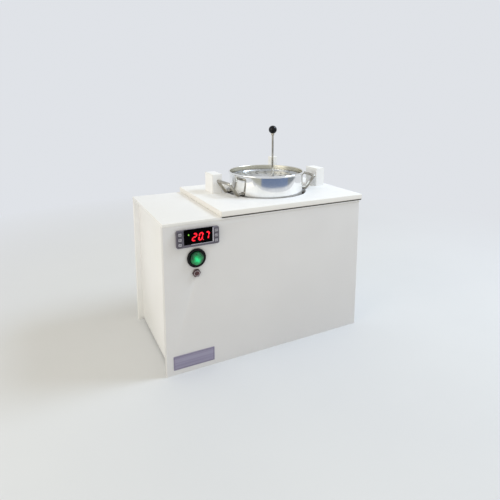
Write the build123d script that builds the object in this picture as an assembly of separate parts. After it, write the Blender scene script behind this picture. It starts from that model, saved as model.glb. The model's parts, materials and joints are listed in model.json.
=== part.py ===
from build123d import *
import math
import os

# Laboratory water bath. A white sheet cabinet holds a steel tank and its electrics.
# A loose lid plate carries three posts, a pot hangs in the lid's hole by its handles,
# and a perforated insert lifts out by a rod and ball.
# Lengths are in millimetres. Everything is laid out from the cabinet's front left bottom corner,
# X to the right, Y to the back and Z up, and is moved to the part's own origin as it is written.

# Cabinet of sheet panels
cabinet_width = 400.0
cabinet_depth = 224.0
cabinet_height = 266.0
panel_thickness = 8.0
top_thickness = 5.0
side_inset = 10.0
side_rise = 4.0
edge_round = 0.8
base_rise = 14.0
base_thickness = 6.0
cleat_size = 12.0
bay_room = 3.5
partition_thickness = 8.0
vent_count = 6
vent_length = 44.0
vent_height = 3.0
vent_pitch = 9.0
vent_offset = -1.0
vent_z = 180.0

# One overrun serves every cut, one gap every flat seat between moving pieces, one every loose fit
overrun = 1.0
seat_gap = 0.3
slip_gap = 0.3
bore_gap = 0.05

# Tank, hung by its flange between the top panel and two rails
tank_floor_z = 60.0
tank_wall = 1.2
tank_corner = 12.0
tank_floor_round = 8.0
flange_width = 13.0
flange_gap = 1.0
flange_end_gap = 14.0
flange_thickness = 1.2
gasket_thickness = 1.5
gasket_inset = 2.0
rail_lap = 6.0
rail_height = 14.0
mat_thickness = 2.5
mat_margin = 22.0
mat_corner = 6.0
cutout_radius = 8.0
cutout_height = 9.0
tab_width = 6.3
tab_thickness = 0.8
tab_height = 14.0
tab_pitch = 9.0
jacket_wall = 10.0
jacket_floor = 20.0
jacket_gap = 2.0

# Temperature probe through the tank's left wall
probe_radius = 3.0
probe_tip_round = 2.7
probe_z = 120.0
probe_inside = 50.0
probe_end_inset = 3.0
gland_radius = 5.0
gland_nut_across = 14.0
gland_nut_height = 4.0
gland_reach = 9.0
wire_hole_radius = 11.0

# Lid plate, loose on the cabinet's top
lid_thickness = 10.0
lid_lap = 34.0
lid_over_front = 2.0
lid_over_right = 5.0
lid_over_back = 5.0
lid_round = 1.0
hole_gap = 6.8
lid_cleat_width = 8.0
lid_cleat_height = 8.0
lid_cleat_gap = 1.5

# Posts on the lid
post_width = 21.5
post_depth = 39.5
post_height = 38.5
left_post_gap = 21.0
left_post_clear = 1.755
right_post_gap = 24.0
right_post_back = 5.5
rear_post_width = 16.0
rear_post_depth = 14.0
rear_post_height = 57.0
rear_post_offset = 61.0
rear_post_setback = 2.5
post_round = 1.2
post_screw_radius = 2.0
post_screw_head = 4.0
post_screw_length = 26.0
post_screw_pitch = 22.0
screw_gap = 0.1
driver_across = 2.4
driver_depth = 1.6

# Pot, as wide as these rooms to the tank's walls leave
pot_end_room = 26.3
pot_front_room = 22.3
pot_back_room = 6.3
pot_wall = 1.2
pot_height = 100.0
rim_above_lid = 41.5
bead_radius = 2.0
pot_floor_round = 6.0

# Pot handles, one bent rod each, not quite opposite each other
left_handle_turn = 8.0
right_handle_turn = -3.0
handle_rod_radius = 3.0
handle_root_half = 22.0
handle_bar_half = 22.5
handle_knee_gap = 2.2
handle_slope = 18.0
handle_bar_above_lid = 26.5
handle_bend = 4.0

# Insert: perforated plate on legs, lifted by a rod with a ball
insert_gap = 2.5
insert_thickness = 1.5
insert_above_lid = 29.5
insert_lip_height = 3.0
insert_lip_thickness = 1.2
insert_hole_radius = 3.0
insert_ring_shares = (30 / 72, 43 / 72, 56 / 72)
insert_ring_counts = (9, 14, 20)
leg_count = 3
leg_inset = 7.0
leg_radius = 2.5
leg_first_turn = 90.0
rod_offset = 15.5
rod_radius = 2.0
rod_below_plate = 6.0
ball_radius = 8.5
ball_above_lid = 124.3
nut_across = 7.0
nut_height = 3.2

# Temperature controller in the front panel
controller_drop = 28.1
bezel_depth = 5.0
bezel_corner = 3.0
bezel_front_round = 1.0
case_side_step = 3.5
case_top_step = 1.75
case_depth = 62.0
case_wall = 1.8
case_fit = 0.5
window_offset = 0.3
window_margin_top = 1.15
window_margin_low = 4.35
window_thickness = 2.0
window_recess = 0.3
window_fit = 0.1
display_gap = 0.1
board_thickness = 1.6
board_gap = 1.0
key_rows = 3
key_width = 7.2
key_height = 6.4
key_rib = 0.2
key_window_gap = 2.8
key_edge_gap = 1.9
key_end_gap = 2.95
key_proud = 0.6
key_round = 0.5
key_flange = 0.7
key_pocket_depth = 3.0
key_travel = 0.7
clip_depth = 22.0
clip_thickness = 4.0
clip_height = 12.0
terminal_width = 50.0
terminal_height = 10.0
terminal_depth = 9.0

# Digits of the display, slanted seven-segment figures
figure_segments = {"0": "abcdef", "1": "bc", "2": "abged", "3": "abgcd", "4": "fgbc",
                   "5": "afgcd", "6": "afgedc", "7": "abc", "8": "abcdefg", "9": "abfgcd"}
digit_reading = "207"
digit_point_after = 1
digit_width = 8.0
digit_height = 14.0
digit_space = 3.0
digit_stroke = 2.4
digit_thickness = 0.15
digit_gap = 0.15
digit_slant = 12.0
digits_margin = 6.0
point_radius = 0.8
light_space = 14.2
light_edge_gap = 8.1
light_z_offset = 5.0
light_radius = 1.0
light_thickness = 0.4

# Round illuminated push switch
switch_offset = -2.6
switch_gap = 4.85
switch_ring_lip = 3.3
switch_ring_proud = 3.5
switch_ring_round = 1.6
switch_bore_radius = 11.6
switch_wall = 1.4
switch_barrel_length = 30.0
switch_nut_wall = 3.5
switch_nut_depth = 5.0
switch_nut_flat_count = 12
switch_lens_proud = 5.0
switch_dome_rise = 2.0
switch_travel = 3.0
switch_plunger_radius = 5.0
switch_lens_depth = 14.0
switch_body_size = 24.0
switch_body_corner = 4.0
switch_body_depth = 24.0

# Reset button of the temperature limiter
reset_offset = -3.3
reset_gap = 3.5
reset_nut_wall = 1.3
reset_nut_proud = 3.0
reset_nut_chamfer = 0.4
reset_bore_radius = 3.9
reset_wall = 1.1
reset_thread_proud = 4.0
reset_flange_lip = 2.5
reset_flange_depth = 2.0
reset_barrel_back = 14.0
reset_button_proud = 4.2
reset_button_round = 1.0
reset_travel = 2.0
limiter_width = 18.0
limiter_height = 20.0
limiter_depth = 22.0

# Bare nameplate
plate_offset = -9.8
plate_z = 21.4
plate_width = 74.0
plate_height = 25.0
plate_thickness = 0.8
plate_corner = 1.0

# Mains inlet in the back panel
inlet_offset = -1.0
inlet_z = 62.0
inlet_flange_width = 50.0
inlet_flange_height = 28.0
inlet_flange_depth = 3.0
inlet_flange_corner = 4.0
inlet_body_width = 28.0
inlet_body_height = 20.5
inlet_body_depth = 24.0
inlet_recess_width = 24.4
inlet_recess_height = 16.6
inlet_recess_depth = 17.0
inlet_recess_chamfer = 4.0
inlet_fit = 0.4
pin_width = 2.0
pin_height = 4.0
pin_pitch = 14.0
pin_rise = 4.0
pin_length = 14.0
pin_tail = 9.0
inlet_screw_pitch = 40.0
inlet_screw_radius = 1.5
inlet_screw_head = 3.0
inlet_screw_head_height = 1.6
inlet_screw_length = 12.0

# Electrics on the partition
carrier_thickness = 2.0
carrier_depth = 130.0
carrier_height = 120.0
carrier_back_room = 21.0
carrier_drop = 10.0
carrier_screw_inset = 8.0
small_screw_radius = 1.6
small_screw_head = 3.0
small_screw_head_height = 1.8
small_screw_length = 8.0
relay_depth = 43.0
relay_height = 58.0
relay_rise = 25.0
relay_round = 1.0
relay_front = 29.0
relay_drop = 30.0
strip_depth = 22.0
strip_height = 84.0
strip_rise = 18.0
strip_back = 30.0
strip_poles = 7
feed_pole = 1
strip_slot_depth = 5.0
strip_rib = 1.6
base_screw_radius = 1.75
base_screw_head = 3.6
base_screw_length = 14.0
base_screw_end = 40.0

# Wires inside the cabinet
wire_radius = 2.2
wire_bend = 9.0
wire_spread = 11.0
heater_lead_gap = 3.0
heater_pole = 2
switch_pole = 5
controller_pole = 6

# Worked out from the sizes above, first the cabinet
top_z = cabinet_height - top_thickness
side_left_x = side_inset + panel_thickness
side_right_x = cabinet_width - side_inset - panel_thickness
inner_front_y = panel_thickness
inner_back_y = cabinet_depth - panel_thickness
base_top_z = base_rise + base_thickness

# The window is as wide as what it shows, and the bezel goes round the window and the keys
digit_pitch = digit_width + digit_space
digits_width = digit_width + (len(digit_reading) - 1) * digit_pitch
window_width = light_space + digits_width + digits_margin
key_pitch = key_height + 2 * (key_flange + slip_gap) + key_rib
key_offset = window_width / 2 + key_window_gap + key_width / 2
bezel_width = 2 * (key_offset + key_width / 2 + key_edge_gap)
bezel_height = 2 * key_end_gap + (key_rows - 1) * key_pitch + key_height
window_height = bezel_height - window_margin_top - window_margin_low
case_width = bezel_width - 2 * case_side_step
case_height = bezel_height - 2 * case_top_step
display_margin = case_top_step + case_wall + display_gap - window_margin_top

# The electrics' bay is as wide as the controller with its clips
controller_x = side_left_x + bay_room + clip_thickness + case_width / 2
controller_z = cabinet_height - controller_drop
partition_x = controller_x + case_width / 2 + clip_thickness + bay_room
bay_left_x = partition_x + partition_thickness
window_x = controller_x + window_offset
window_z = controller_z + (window_margin_low - window_margin_top) / 2
window_front_y = -bezel_depth + window_recess
window_back_y = window_front_y + window_thickness
digits_x = window_x + window_width / 2 - digits_margin - digits_width / 2
light_x = window_x - window_width / 2 + light_edge_gap
key_front_y = -key_pocket_depth + slip_gap
key_back_y = -key_travel - slip_gap

# Switch and reset, one under the other
switch_barrel_radius = switch_bore_radius + switch_wall
switch_ring_radius = switch_barrel_radius + switch_ring_lip
switch_nut_radius = switch_barrel_radius + switch_nut_wall
switch_lens_reach = switch_lens_proud + switch_dome_rise
switch_x = controller_x + switch_offset
switch_z = controller_z - bezel_height / 2 - switch_gap - switch_ring_radius
reset_thread_radius = reset_bore_radius + reset_wall
reset_nut_across = 2 * (reset_thread_radius + reset_nut_wall)
reset_flange_radius = reset_thread_radius + reset_flange_lip
reset_x = controller_x + reset_offset
reset_z = switch_z - switch_ring_radius - reset_gap - reset_nut_across / 2
plate_x = controller_x + plate_offset
inlet_x = controller_x + inlet_offset
vent_x = controller_x + vent_offset

# Tank between the partition and the right side
tank_left_x = bay_left_x + flange_width + flange_end_gap
tank_right_x = side_right_x - flange_width - flange_end_gap
tank_front_y = inner_front_y + flange_width + flange_gap
tank_back_y = inner_back_y - flange_width - flange_gap
tank_length = tank_right_x - tank_left_x
tank_depth = tank_back_y - tank_front_y
tank_x = (tank_left_x + tank_right_x) / 2
tank_y = (tank_front_y + tank_back_y) / 2
flange_top_z = top_z - gasket_thickness
flange_low_z = flange_top_z - flange_thickness
rail_width = flange_end_gap + rail_lap
jacket_top_z = flange_low_z - rail_height - jacket_gap
probe_end_x = partition_x + probe_end_inset
heater_lead_z = tank_floor_z - jacket_floor - heater_lead_gap

# Lid over the tank, and the pot in the middle of its length
lid_left_x = tank_left_x - lid_lap
lid_right_x = cabinet_width + lid_over_right
lid_z = cabinet_height
lid_top_z = lid_z + lid_thickness
pot_x = (lid_left_x + lid_right_x) / 2
pot_radius = min(tank_right_x - pot_x - pot_end_room, (tank_depth - pot_front_room - pot_back_room) / 2)
pot_y = tank_back_y - pot_back_room - pot_radius
rim_z = lid_top_z + rim_above_lid
pot_floor_z = rim_z - pot_height
hole_radius = pot_radius + hole_gap
handle_knee_reach = hole_radius + handle_knee_gap
handle_bar_reach = handle_knee_reach + handle_slope

# The left post stands just behind the left handle's end, the others round the hole
handle_slew = math.radians(left_handle_turn)
handle_end_y = handle_bar_half * math.cos(handle_slew) - handle_bar_reach * math.sin(handle_slew)
left_post_x = pot_x - hole_radius - left_post_gap
left_post_y = pot_y + handle_end_y + handle_rod_radius + left_post_clear + post_depth / 2
right_post_x = pot_x + handle_bar_reach + right_post_gap
right_post_y = pot_y + right_post_back
rear_post_x = pot_x + rear_post_offset
rear_post_y = pot_y + hole_radius - rear_post_setback

# Insert in the pot
insert_radius = pot_radius - pot_wall - insert_gap
insert_top_z = lid_top_z + insert_above_lid
insert_low_z = insert_top_z - insert_thickness
leg_circle = insert_radius - leg_inset
rod_x = pot_x + rod_offset
ball_z = lid_top_z + ball_above_lid

# Electrics on the partition
carrier_y = inner_back_y - carrier_back_room - carrier_depth / 2
carrier_z = probe_z - carrier_drop
relay_y = carrier_y - relay_front
relay_z = carrier_z - relay_drop
strip_y = carrier_y + strip_back
strip_cell = strip_height / strip_poles
strip_low_z = inlet_z + pin_rise - (feed_pole + 1 / 2) * strip_cell

# The part's origin is on the floor, in the middle of the whole part
front_reach = max(switch_lens_reach, bezel_depth + key_proud, reset_button_proud)
back_reach = cabinet_depth + max(lid_over_back, inlet_flange_depth + inlet_screw_head_height)
origin_x = lid_right_x / 2
origin_y = (back_reach - front_reach) / 2


on_end = (Align.CENTER, Align.CENTER, Align.MIN)


def block(x_low, x_high, y_low, y_high, z_low, z_high):
    size = Box(x_high - x_low, y_high - y_low, z_high - z_low, align=(Align.MIN, Align.MIN, Align.MIN))
    return Pos(x_low, y_low, z_low) * size


def rounded_block(x_low, x_high, y_low, y_high, z_low, z_high, radius, axis=Axis.Z):
    body = block(x_low, x_high, y_low, y_high, z_low, z_high)
    return fillet(body.edges().filter_by(axis), radius)


def rod_along_x(x_low, x_high, y, z, radius):
    return Pos(x_low, y, z) * Rot(0, 90, 0) * Cylinder(radius, x_high - x_low, align=on_end)


def rod_along_y(x, y_low, y_high, z, radius):
    return Pos(x, y_low, z) * Rot(-90, 0, 0) * Cylinder(radius, y_high - y_low, align=on_end)


def rod_along_z(x, y, z_low, z_high, radius):
    return Pos(x, y, z_low) * Cylinder(radius, z_high - z_low, align=on_end)


def corner_reach(across, sides=6):
    # From the middle of a nut to its corners, for a size across its flats
    return across / 2 / math.cos(math.pi / sides)


def hexagon(across, height, sides=6):
    # A prism standing on Z = 0, measured across its flats
    return extrude(RegularPolygon(corner_reach(across, sides), sides), height)


def slot_along_y(x, z, length, height, y_low, y_high):
    reach = (length - height) / 2
    bar = block(x - reach, x + reach, y_low, y_high, z - height / 2, z + height / 2)
    for side in (-1, 1):
        bar += rod_along_y(x + side * reach, y_low, y_high, z, height / 2)
    return bar


def countersunk_screw(radius, head_radius, length):
    # Stands on its flat head, point up
    head_height = head_radius - radius
    shank = Pos(0, 0, head_height) * Cylinder(radius, length - head_height, align=on_end)
    head = Cone(head_radius, radius, head_height, align=on_end)
    return head + shank - hexagon(driver_across, min(driver_depth, head_height))


def pan_screw(radius, head_radius, head_height, length):
    # The head's top face is at Z = 0 with its shank going up
    head = Cylinder(head_radius, head_height, align=on_end)
    head = fillet(head.edges().group_by(Axis.Z)[0], head_height / 3)
    shank = Pos(0, 0, head_height) * Cylinder(radius, length, align=on_end)
    return head + shank - hexagon(driver_across, head_height / 2)


def front_panel():
    panel = block(0, cabinet_width, 0, panel_thickness, 0, top_z)
    panel = fillet(panel.edges().filter_by(Axis.Z).group_by(Axis.Y)[0], edge_round)
    half_width = case_width / 2 + case_fit
    half_height = case_height / 2 + case_fit
    panel -= block(controller_x - half_width, controller_x + half_width, -overrun, panel_thickness + overrun,
                   controller_z - half_height, controller_z + half_height)
    high_y = panel_thickness + overrun
    panel -= rod_along_y(switch_x, -overrun, high_y, switch_z, switch_barrel_radius + slip_gap)
    panel -= rod_along_y(reset_x, -overrun, high_y, reset_z, reset_thread_radius + screw_gap)
    return panel


def back_panel():
    low_y = inner_back_y - overrun
    high_y = cabinet_depth + overrun
    panel = block(0, cabinet_width, inner_back_y, cabinet_depth, 0, top_z)
    panel = fillet(panel.edges().filter_by(Axis.Z).group_by(Axis.Y)[-1], edge_round)
    for row in range(vent_count):
        z = vent_z + (row - (vent_count - 1) / 2) * vent_pitch
        panel -= slot_along_y(vent_x, z, vent_length, vent_height, low_y, high_y)
    half_width = inlet_body_width / 2 + inlet_fit
    half_height = inlet_body_height / 2 + inlet_fit
    panel -= block(inlet_x - half_width, inlet_x + half_width, low_y, high_y,
                   inlet_z - half_height, inlet_z + half_height)
    for side in (-1, 1):
        x = inlet_x + side * inlet_screw_pitch / 2
        panel -= rod_along_y(x, low_y, high_y, inlet_z, inlet_screw_radius + screw_gap)
    return panel


def side_panel(x_low):
    return block(x_low, x_low + panel_thickness, inner_front_y, inner_back_y, side_rise, top_z)


def tank_outline(z_low, z_high, grow=0.0):
    # The tank's inner outline, grown all round, as a solid
    return rounded_block(tank_x - tank_length / 2 - grow, tank_x + tank_length / 2 + grow,
                         tank_y - tank_depth / 2 - grow, tank_y + tank_depth / 2 + grow,
                         z_low, z_high, tank_corner + grow)


def top_panel():
    panel = block(0, cabinet_width, 0, cabinet_depth, top_z, cabinet_height)
    panel = fillet(panel.edges().group_by(Axis.Z)[-1], edge_round)
    return panel - tank_outline(top_z - overrun, cabinet_height + overrun)


def base_screw_places():
    places = []
    for y in (inner_front_y + cleat_size / 2, inner_back_y - cleat_size / 2):
        for x in (base_screw_end, (bay_left_x + cabinet_width) / 2, cabinet_width - base_screw_end):
            places.append((x, y))
    return places


def base_plate():
    plate = block(side_left_x, side_right_x, inner_front_y, inner_back_y, base_rise, base_top_z)
    for x, y in base_screw_places():
        plate -= rod_along_z(x, y, base_rise - overrun, base_top_z + overrun, base_screw_radius + screw_gap)
        sink = base_screw_head - base_screw_radius
        plate -= Pos(x, y, base_rise) * Cone(base_screw_head + screw_gap, base_screw_radius + screw_gap, sink,
                                             align=on_end)
    return plate


def base_cleats():
    strips = []
    for x_low, x_high in ((side_left_x, partition_x), (bay_left_x, side_right_x)):
        for y_low in (inner_front_y, inner_back_y - cleat_size):
            strip = block(x_low, x_high, y_low, y_low + cleat_size, base_top_z, base_top_z + cleat_size)
            for x, y in base_screw_places():
                strip -= rod_along_z(x, y, base_rise, base_rise + base_screw_length + screw_gap,
                                     base_screw_radius + bore_gap)
            strips.append(strip)
    return Compound(strips)


def carrier_screw_places():
    places = []
    for y_side in (-1, 1):
        for z_side in (-1, 1):
            places.append((carrier_y + y_side * (carrier_depth / 2 - carrier_screw_inset),
                           carrier_z + z_side * (carrier_height / 2 - carrier_screw_inset)))
    return places


def cabinet_screws():
    screws = []
    for x, y in base_screw_places():
        screw = countersunk_screw(base_screw_radius, base_screw_head, base_screw_length)
        screws.append(Pos(x, y, base_rise) * screw)
    head_x = partition_x - carrier_thickness - small_screw_head_height
    for y, z in carrier_screw_places():
        screw = pan_screw(small_screw_radius, small_screw_head, small_screw_head_height, small_screw_length)
        screws.append(Pos(head_x, y, z) * Rot(0, 90, 0) * screw)
    return Compound(screws)


def partition_wall():
    wall = block(partition_x, bay_left_x, inner_front_y, inner_back_y, base_top_z, top_z)
    low_x = partition_x - overrun
    high_x = bay_left_x + overrun
    wall -= rod_along_x(low_x, high_x, tank_y, probe_z, wire_hole_radius)
    wall -= rod_along_x(low_x, high_x, tank_y, heater_lead_z, wire_radius + slip_gap)
    screw_end_x = partition_x - carrier_thickness + small_screw_length + screw_gap
    for y, z in carrier_screw_places():
        wall -= rod_along_x(low_x, screw_end_x, y, z, small_screw_radius + bore_gap)
    return wall


def tank_rails():
    rails = []
    z_low = flange_low_z - rail_height
    for x_low in (bay_left_x, side_right_x - rail_width):
        rails.append(block(x_low, x_low + rail_width, inner_front_y + cleat_size, inner_back_y - cleat_size,
                           z_low, flange_low_z))
    return Compound(rails)


def tank():
    shell = tank_outline(tank_floor_z, flange_top_z, tank_wall)
    shell = fillet(shell.edges().group_by(Axis.Z)[0], tank_floor_round + tank_wall)
    shell += tank_outline(flange_low_z, flange_top_z, flange_width)
    hollow = tank_outline(tank_floor_z + tank_wall, flange_top_z + overrun)
    shell -= fillet(hollow.edges().group_by(Axis.Z)[0], tank_floor_round)
    return shell - rod_along_x(tank_left_x - tank_wall - overrun, tank_left_x + overrun, tank_y, probe_z,
                               gland_radius + bore_gap)


def tank_gasket():
    ring = tank_outline(flange_top_z, top_z, flange_width - gasket_inset)
    return ring - tank_outline(flange_top_z - overrun, top_z + overrun, gasket_inset)


def mat_outline(z_low, z_high, grow=0.0):
    half_length = tank_length / 2 - mat_margin + grow
    half_depth = tank_depth / 2 - mat_margin + grow
    return rounded_block(tank_x - half_length, tank_x + half_length, tank_y - half_depth, tank_y + half_depth,
                         z_low, z_high, mat_corner)


def heating_mat():
    return mat_outline(tank_floor_z - mat_thickness, tank_floor_z)


def thermal_cutout():
    z_high = tank_floor_z - mat_thickness
    body = rod_along_z(tank_x, tank_y, z_high - cutout_height, z_high, cutout_radius)
    for side in (-1, 1):
        x = tank_x + side * tab_pitch / 2
        body += block(x - tab_thickness / 2, x + tab_thickness / 2,
                      tank_y - tab_width / 2, tank_y + tab_width / 2,
                      z_high - cutout_height - tab_height, z_high - cutout_height)
    return body


def insulation_jacket():
    grow = tank_wall + jacket_wall
    low_z = tank_floor_z - jacket_floor
    foam = block(tank_x - tank_length / 2 - grow, tank_x + tank_length / 2 + grow,
                 tank_y - tank_depth / 2 - grow, tank_y + tank_depth / 2 + grow, low_z, jacket_top_z)
    well = tank_outline(tank_floor_z, jacket_top_z + overrun, tank_wall)
    foam -= fillet(well.edges().group_by(Axis.Z)[0], tank_floor_round + tank_wall)
    foam -= mat_outline(tank_floor_z - mat_thickness, tank_floor_z + overrun, slip_gap)
    foam -= rod_along_z(tank_x, tank_y, low_z - overrun, tank_floor_z, cutout_radius + slip_gap)
    return foam - rod_along_x(tank_left_x - grow - overrun, tank_left_x, tank_y, probe_z,
                              corner_reach(gland_nut_across) + slip_gap)


def temperature_probe():
    sheath = rod_along_x(probe_end_x, tank_left_x + probe_inside, tank_y, probe_z, probe_radius)
    return fillet(sheath.edges().group_by(Axis.X)[-1], probe_tip_round)


def probe_gland():
    outer_x = tank_left_x - tank_wall
    body = rod_along_x(outer_x - gland_reach, tank_left_x + gland_reach, tank_y, probe_z, gland_radius)
    nut = Rot(0, 90, 0) * hexagon(gland_nut_across, gland_nut_height)
    body += Pos(outer_x - gland_nut_height, tank_y, probe_z) * nut
    body += Pos(tank_left_x, tank_y, probe_z) * nut
    return body - rod_along_x(outer_x - gland_reach - overrun, tank_left_x + gland_reach + overrun,
                              tank_y, probe_z, probe_radius + bore_gap)


def post_boxes():
    # Each post's low and high corners in X and Y, and its height
    boxes = {}
    for name, x, y, width, depth, height in (
            ("left", left_post_x, left_post_y, post_width, post_depth, post_height),
            ("right", right_post_x, right_post_y, post_width, post_depth, post_height),
            ("rear", rear_post_x, rear_post_y, rear_post_width, rear_post_depth, rear_post_height)):
        boxes[name] = (x - width / 2, x + width / 2, y - depth / 2, y + depth / 2, height)
    return boxes


def post_screw_places():
    places = {"left": [], "right": [], "rear": [(rear_post_x, rear_post_y)]}
    for side in (-1, 1):
        places["left"].append((left_post_x, left_post_y + side * post_screw_pitch / 2))
        places["right"].append((right_post_x, right_post_y + side * post_screw_pitch / 2))
    return places


def lid_plate():
    plate = block(lid_left_x, lid_right_x, -lid_over_front, cabinet_depth + lid_over_back, lid_z, lid_top_z)
    plate = fillet(plate.edges().filter_by(Axis.Z) + plate.edges().group_by(Axis.Z)[-1], lid_round)
    plate -= rod_along_z(pot_x, pot_y, lid_z - overrun, lid_top_z + overrun, hole_radius)
    for places in post_screw_places().values():
        for x, y in places:
            plate -= rod_along_z(x, y, lid_z - overrun, lid_top_z + overrun, post_screw_radius + screw_gap)
            sink = post_screw_head - post_screw_radius
            plate -= Pos(x, y, lid_z) * Cone(post_screw_head + screw_gap, post_screw_radius + screw_gap, sink,
                                             align=on_end)
    return plate


def lid_cleats():
    # Strips under the lid that drop into the tank's opening
    z_low = lid_z - lid_cleat_height
    edge_x = tank_length / 2 - lid_cleat_gap
    side_half = tank_depth / 2 - tank_corner
    front_y = tank_y - tank_depth / 2 + lid_cleat_gap
    front_half = tank_length / 2 - tank_corner - lid_cleat_width
    strips = [block(tank_x - front_half, tank_x + front_half, front_y, front_y + lid_cleat_width,
                    z_low, lid_z)]
    for x_low in (tank_x - edge_x, tank_x + edge_x - lid_cleat_width):
        strips.append(block(x_low, x_low + lid_cleat_width, tank_y - side_half, tank_y + side_half,
                            z_low, lid_z))
    return Compound(strips)


def post(name):
    x_low, x_high, y_low, y_high, height = post_boxes()[name]
    body = block(x_low, x_high, y_low, y_high, lid_top_z, lid_top_z + height)
    body = fillet(body.edges().filter_by(Axis.Z) + body.edges().group_by(Axis.Z)[-1], post_round)
    for x, y in post_screw_places()[name]:
        body -= rod_along_z(x, y, lid_top_z - overrun, lid_z + post_screw_length + screw_gap,
                            post_screw_radius + bore_gap)
    return body


def post_screws():
    screw = countersunk_screw(post_screw_radius, post_screw_head, post_screw_length)
    return Compound([Pos(x, y, lid_z) * screw for places in post_screw_places().values() for x, y in places])


def corner_arc(centre_r, centre_z, radius):
    # Quarter round from straight down to straight out
    reach = radius * math.cos(math.pi / 4)
    return ThreePointArc((centre_r, 0, centre_z - radius), (centre_r + reach, 0, centre_z - reach),
                         (centre_r + radius, 0, centre_z))


def pot_shell():
    inner = pot_radius - pot_wall
    inner_round = pot_floor_round - pot_wall
    round_r = pot_radius - pot_floor_round
    round_z = pot_floor_z + pot_floor_round
    floor_top_z = pot_floor_z + pot_wall
    bead_r = inner + bead_radius
    bead_z = rim_z - bead_radius
    bead_foot_z = bead_z - math.sqrt(bead_radius ** 2 - (bead_r - pot_radius) ** 2)
    bead_reach = bead_radius * math.cos(math.pi / 4)
    outline = [
        Line((0, 0, pot_floor_z), (round_r, 0, pot_floor_z)),
        corner_arc(round_r, round_z, pot_floor_round),
        Line((pot_radius, 0, round_z), (pot_radius, 0, bead_foot_z)),
        ThreePointArc((pot_radius, 0, bead_foot_z),
                      (bead_r + bead_reach, 0, bead_z + bead_reach), (inner, 0, bead_z)),
        Line((inner, 0, bead_z), (inner, 0, round_z)),
        corner_arc(round_r, round_z, inner_round),
        Line((round_r, 0, floor_top_z), (0, 0, floor_top_z)),
        Line((0, 0, floor_top_z), (0, 0, pot_floor_z))]
    return Pos(pot_x, pot_y, 0) * revolve(make_face(outline), Axis.Z)


def pot_handle(side, turn):
    # Laid out along X from the pot's axis, to the right for side 1 and to the left for -1, then turned
    rest_z = lid_top_z + seat_gap + handle_rod_radius
    bar_z = lid_top_z + handle_bar_above_lid
    start = pot_radius - handle_root_half
    path = FilletPolyline(
        (side * start, -handle_root_half, rest_z), (side * handle_knee_reach, -handle_root_half, rest_z),
        (side * handle_bar_reach, -handle_bar_half, bar_z), (side * handle_bar_reach, handle_bar_half, bar_z),
        (side * handle_knee_reach, handle_root_half, rest_z), (side * start, handle_root_half, rest_z),
        radius=handle_bend)
    section = Plane(origin=path @ 0, z_dir=path % 0) * Circle(handle_rod_radius)
    bar = sweep(section, path=path)
    bar -= rod_along_z(0, 0, lid_top_z - overrun, rim_z, pot_radius)
    return Pos(pot_x, pot_y, 0) * Rot(0, 0, turn) * bar


def insert_plate():
    plate = rod_along_z(0, 0, insert_low_z, insert_top_z, insert_radius)
    lip = rod_along_z(0, 0, insert_low_z, insert_top_z + insert_lip_height, insert_radius)
    plate += lip - rod_along_z(0, 0, insert_low_z, insert_top_z + insert_lip_height + overrun,
                               insert_radius - insert_lip_thickness)
    for ring_share, count in zip(insert_ring_shares, insert_ring_counts):
        ring_radius = ring_share * insert_radius
        for step in range(count):
            turn = 2 * math.pi * (step + 1 / 2) / count
            plate -= rod_along_z(ring_radius * math.cos(turn), ring_radius * math.sin(turn),
                                 insert_low_z - overrun, insert_top_z + overrun, insert_hole_radius)
    plate -= rod_along_z(rod_offset, 0, insert_low_z - overrun, insert_top_z + overrun, rod_radius + bore_gap)
    leg_foot_z = pot_floor_z + pot_wall + seat_gap
    for step in range(leg_count):
        turn = math.radians(leg_first_turn) + 2 * math.pi * step / leg_count
        plate += rod_along_z(leg_circle * math.cos(turn), leg_circle * math.sin(turn),
                             leg_foot_z, insert_low_z, leg_radius)
    return Pos(pot_x, pot_y, 0) * plate


def lifting_rod():
    return rod_along_z(rod_x, pot_y, insert_low_z - rod_below_plate, ball_z, rod_radius)


def rod_nuts():
    nut = hexagon(nut_across, nut_height)
    nut -= rod_along_z(0, 0, -overrun, nut_height + overrun, rod_radius + bore_gap)
    return Compound([Pos(rod_x, pot_y, z) * nut for z in (insert_top_z, insert_low_z - nut_height)])


def ball_knob():
    ball = Pos(rod_x, pot_y, ball_z) * Sphere(ball_radius)
    return ball - rod_along_z(rod_x, pot_y, ball_z - ball_radius - overrun, ball_z + bore_gap,
                              rod_radius + bore_gap)


def key_places():
    places = []
    for side_name, side in (("left", -1), ("right", 1)):
        for row in range(key_rows):
            z = controller_z + ((key_rows - 1) / 2 - row) * key_pitch
            places.append((f"{side_name}_key_{row + 1}", controller_x + side * key_offset, z))
    return places


def key_box(x, z, grow, y_low, y_high):
    return block(x - key_width / 2 - grow, x + key_width / 2 + grow, y_low, y_high,
                 z - key_height / 2 - grow, z + key_height / 2 + grow)


def window_box(inset, y_low, y_high):
    half_width = window_width / 2 - inset
    half_height = window_height / 2 - inset
    return block(window_x - half_width, window_x + half_width, y_low, y_high,
                 window_z - half_height, window_z + half_height)


def controller_bezel():
    half_width = bezel_width / 2
    half_height = bezel_height / 2
    frame = rounded_block(controller_x - half_width, controller_x + half_width, -bezel_depth, 0,
                          controller_z - half_height, controller_z + half_height, bezel_corner, Axis.Y)
    frame = fillet(frame.edges().group_by(Axis.Y)[0], bezel_front_round)
    frame -= window_box(0, -bezel_depth - overrun, overrun)
    for _, x, z in key_places():
        frame -= key_box(x, z, slip_gap, -bezel_depth - overrun, overrun)
        frame -= key_box(x, z, slip_gap + key_flange, -key_pocket_depth, overrun)
    return frame


def controller_key(x, z):
    # The cap stands proud of the bezel. Its flange sits in the pocket behind, one travel off the panel
    cap = key_box(x, z, 0, -bezel_depth - key_proud, key_front_y)
    cap = fillet(cap.edges().group_by(Axis.Y)[0], key_round)
    return cap + key_box(x, z, key_flange, key_front_y, key_back_y)


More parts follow.
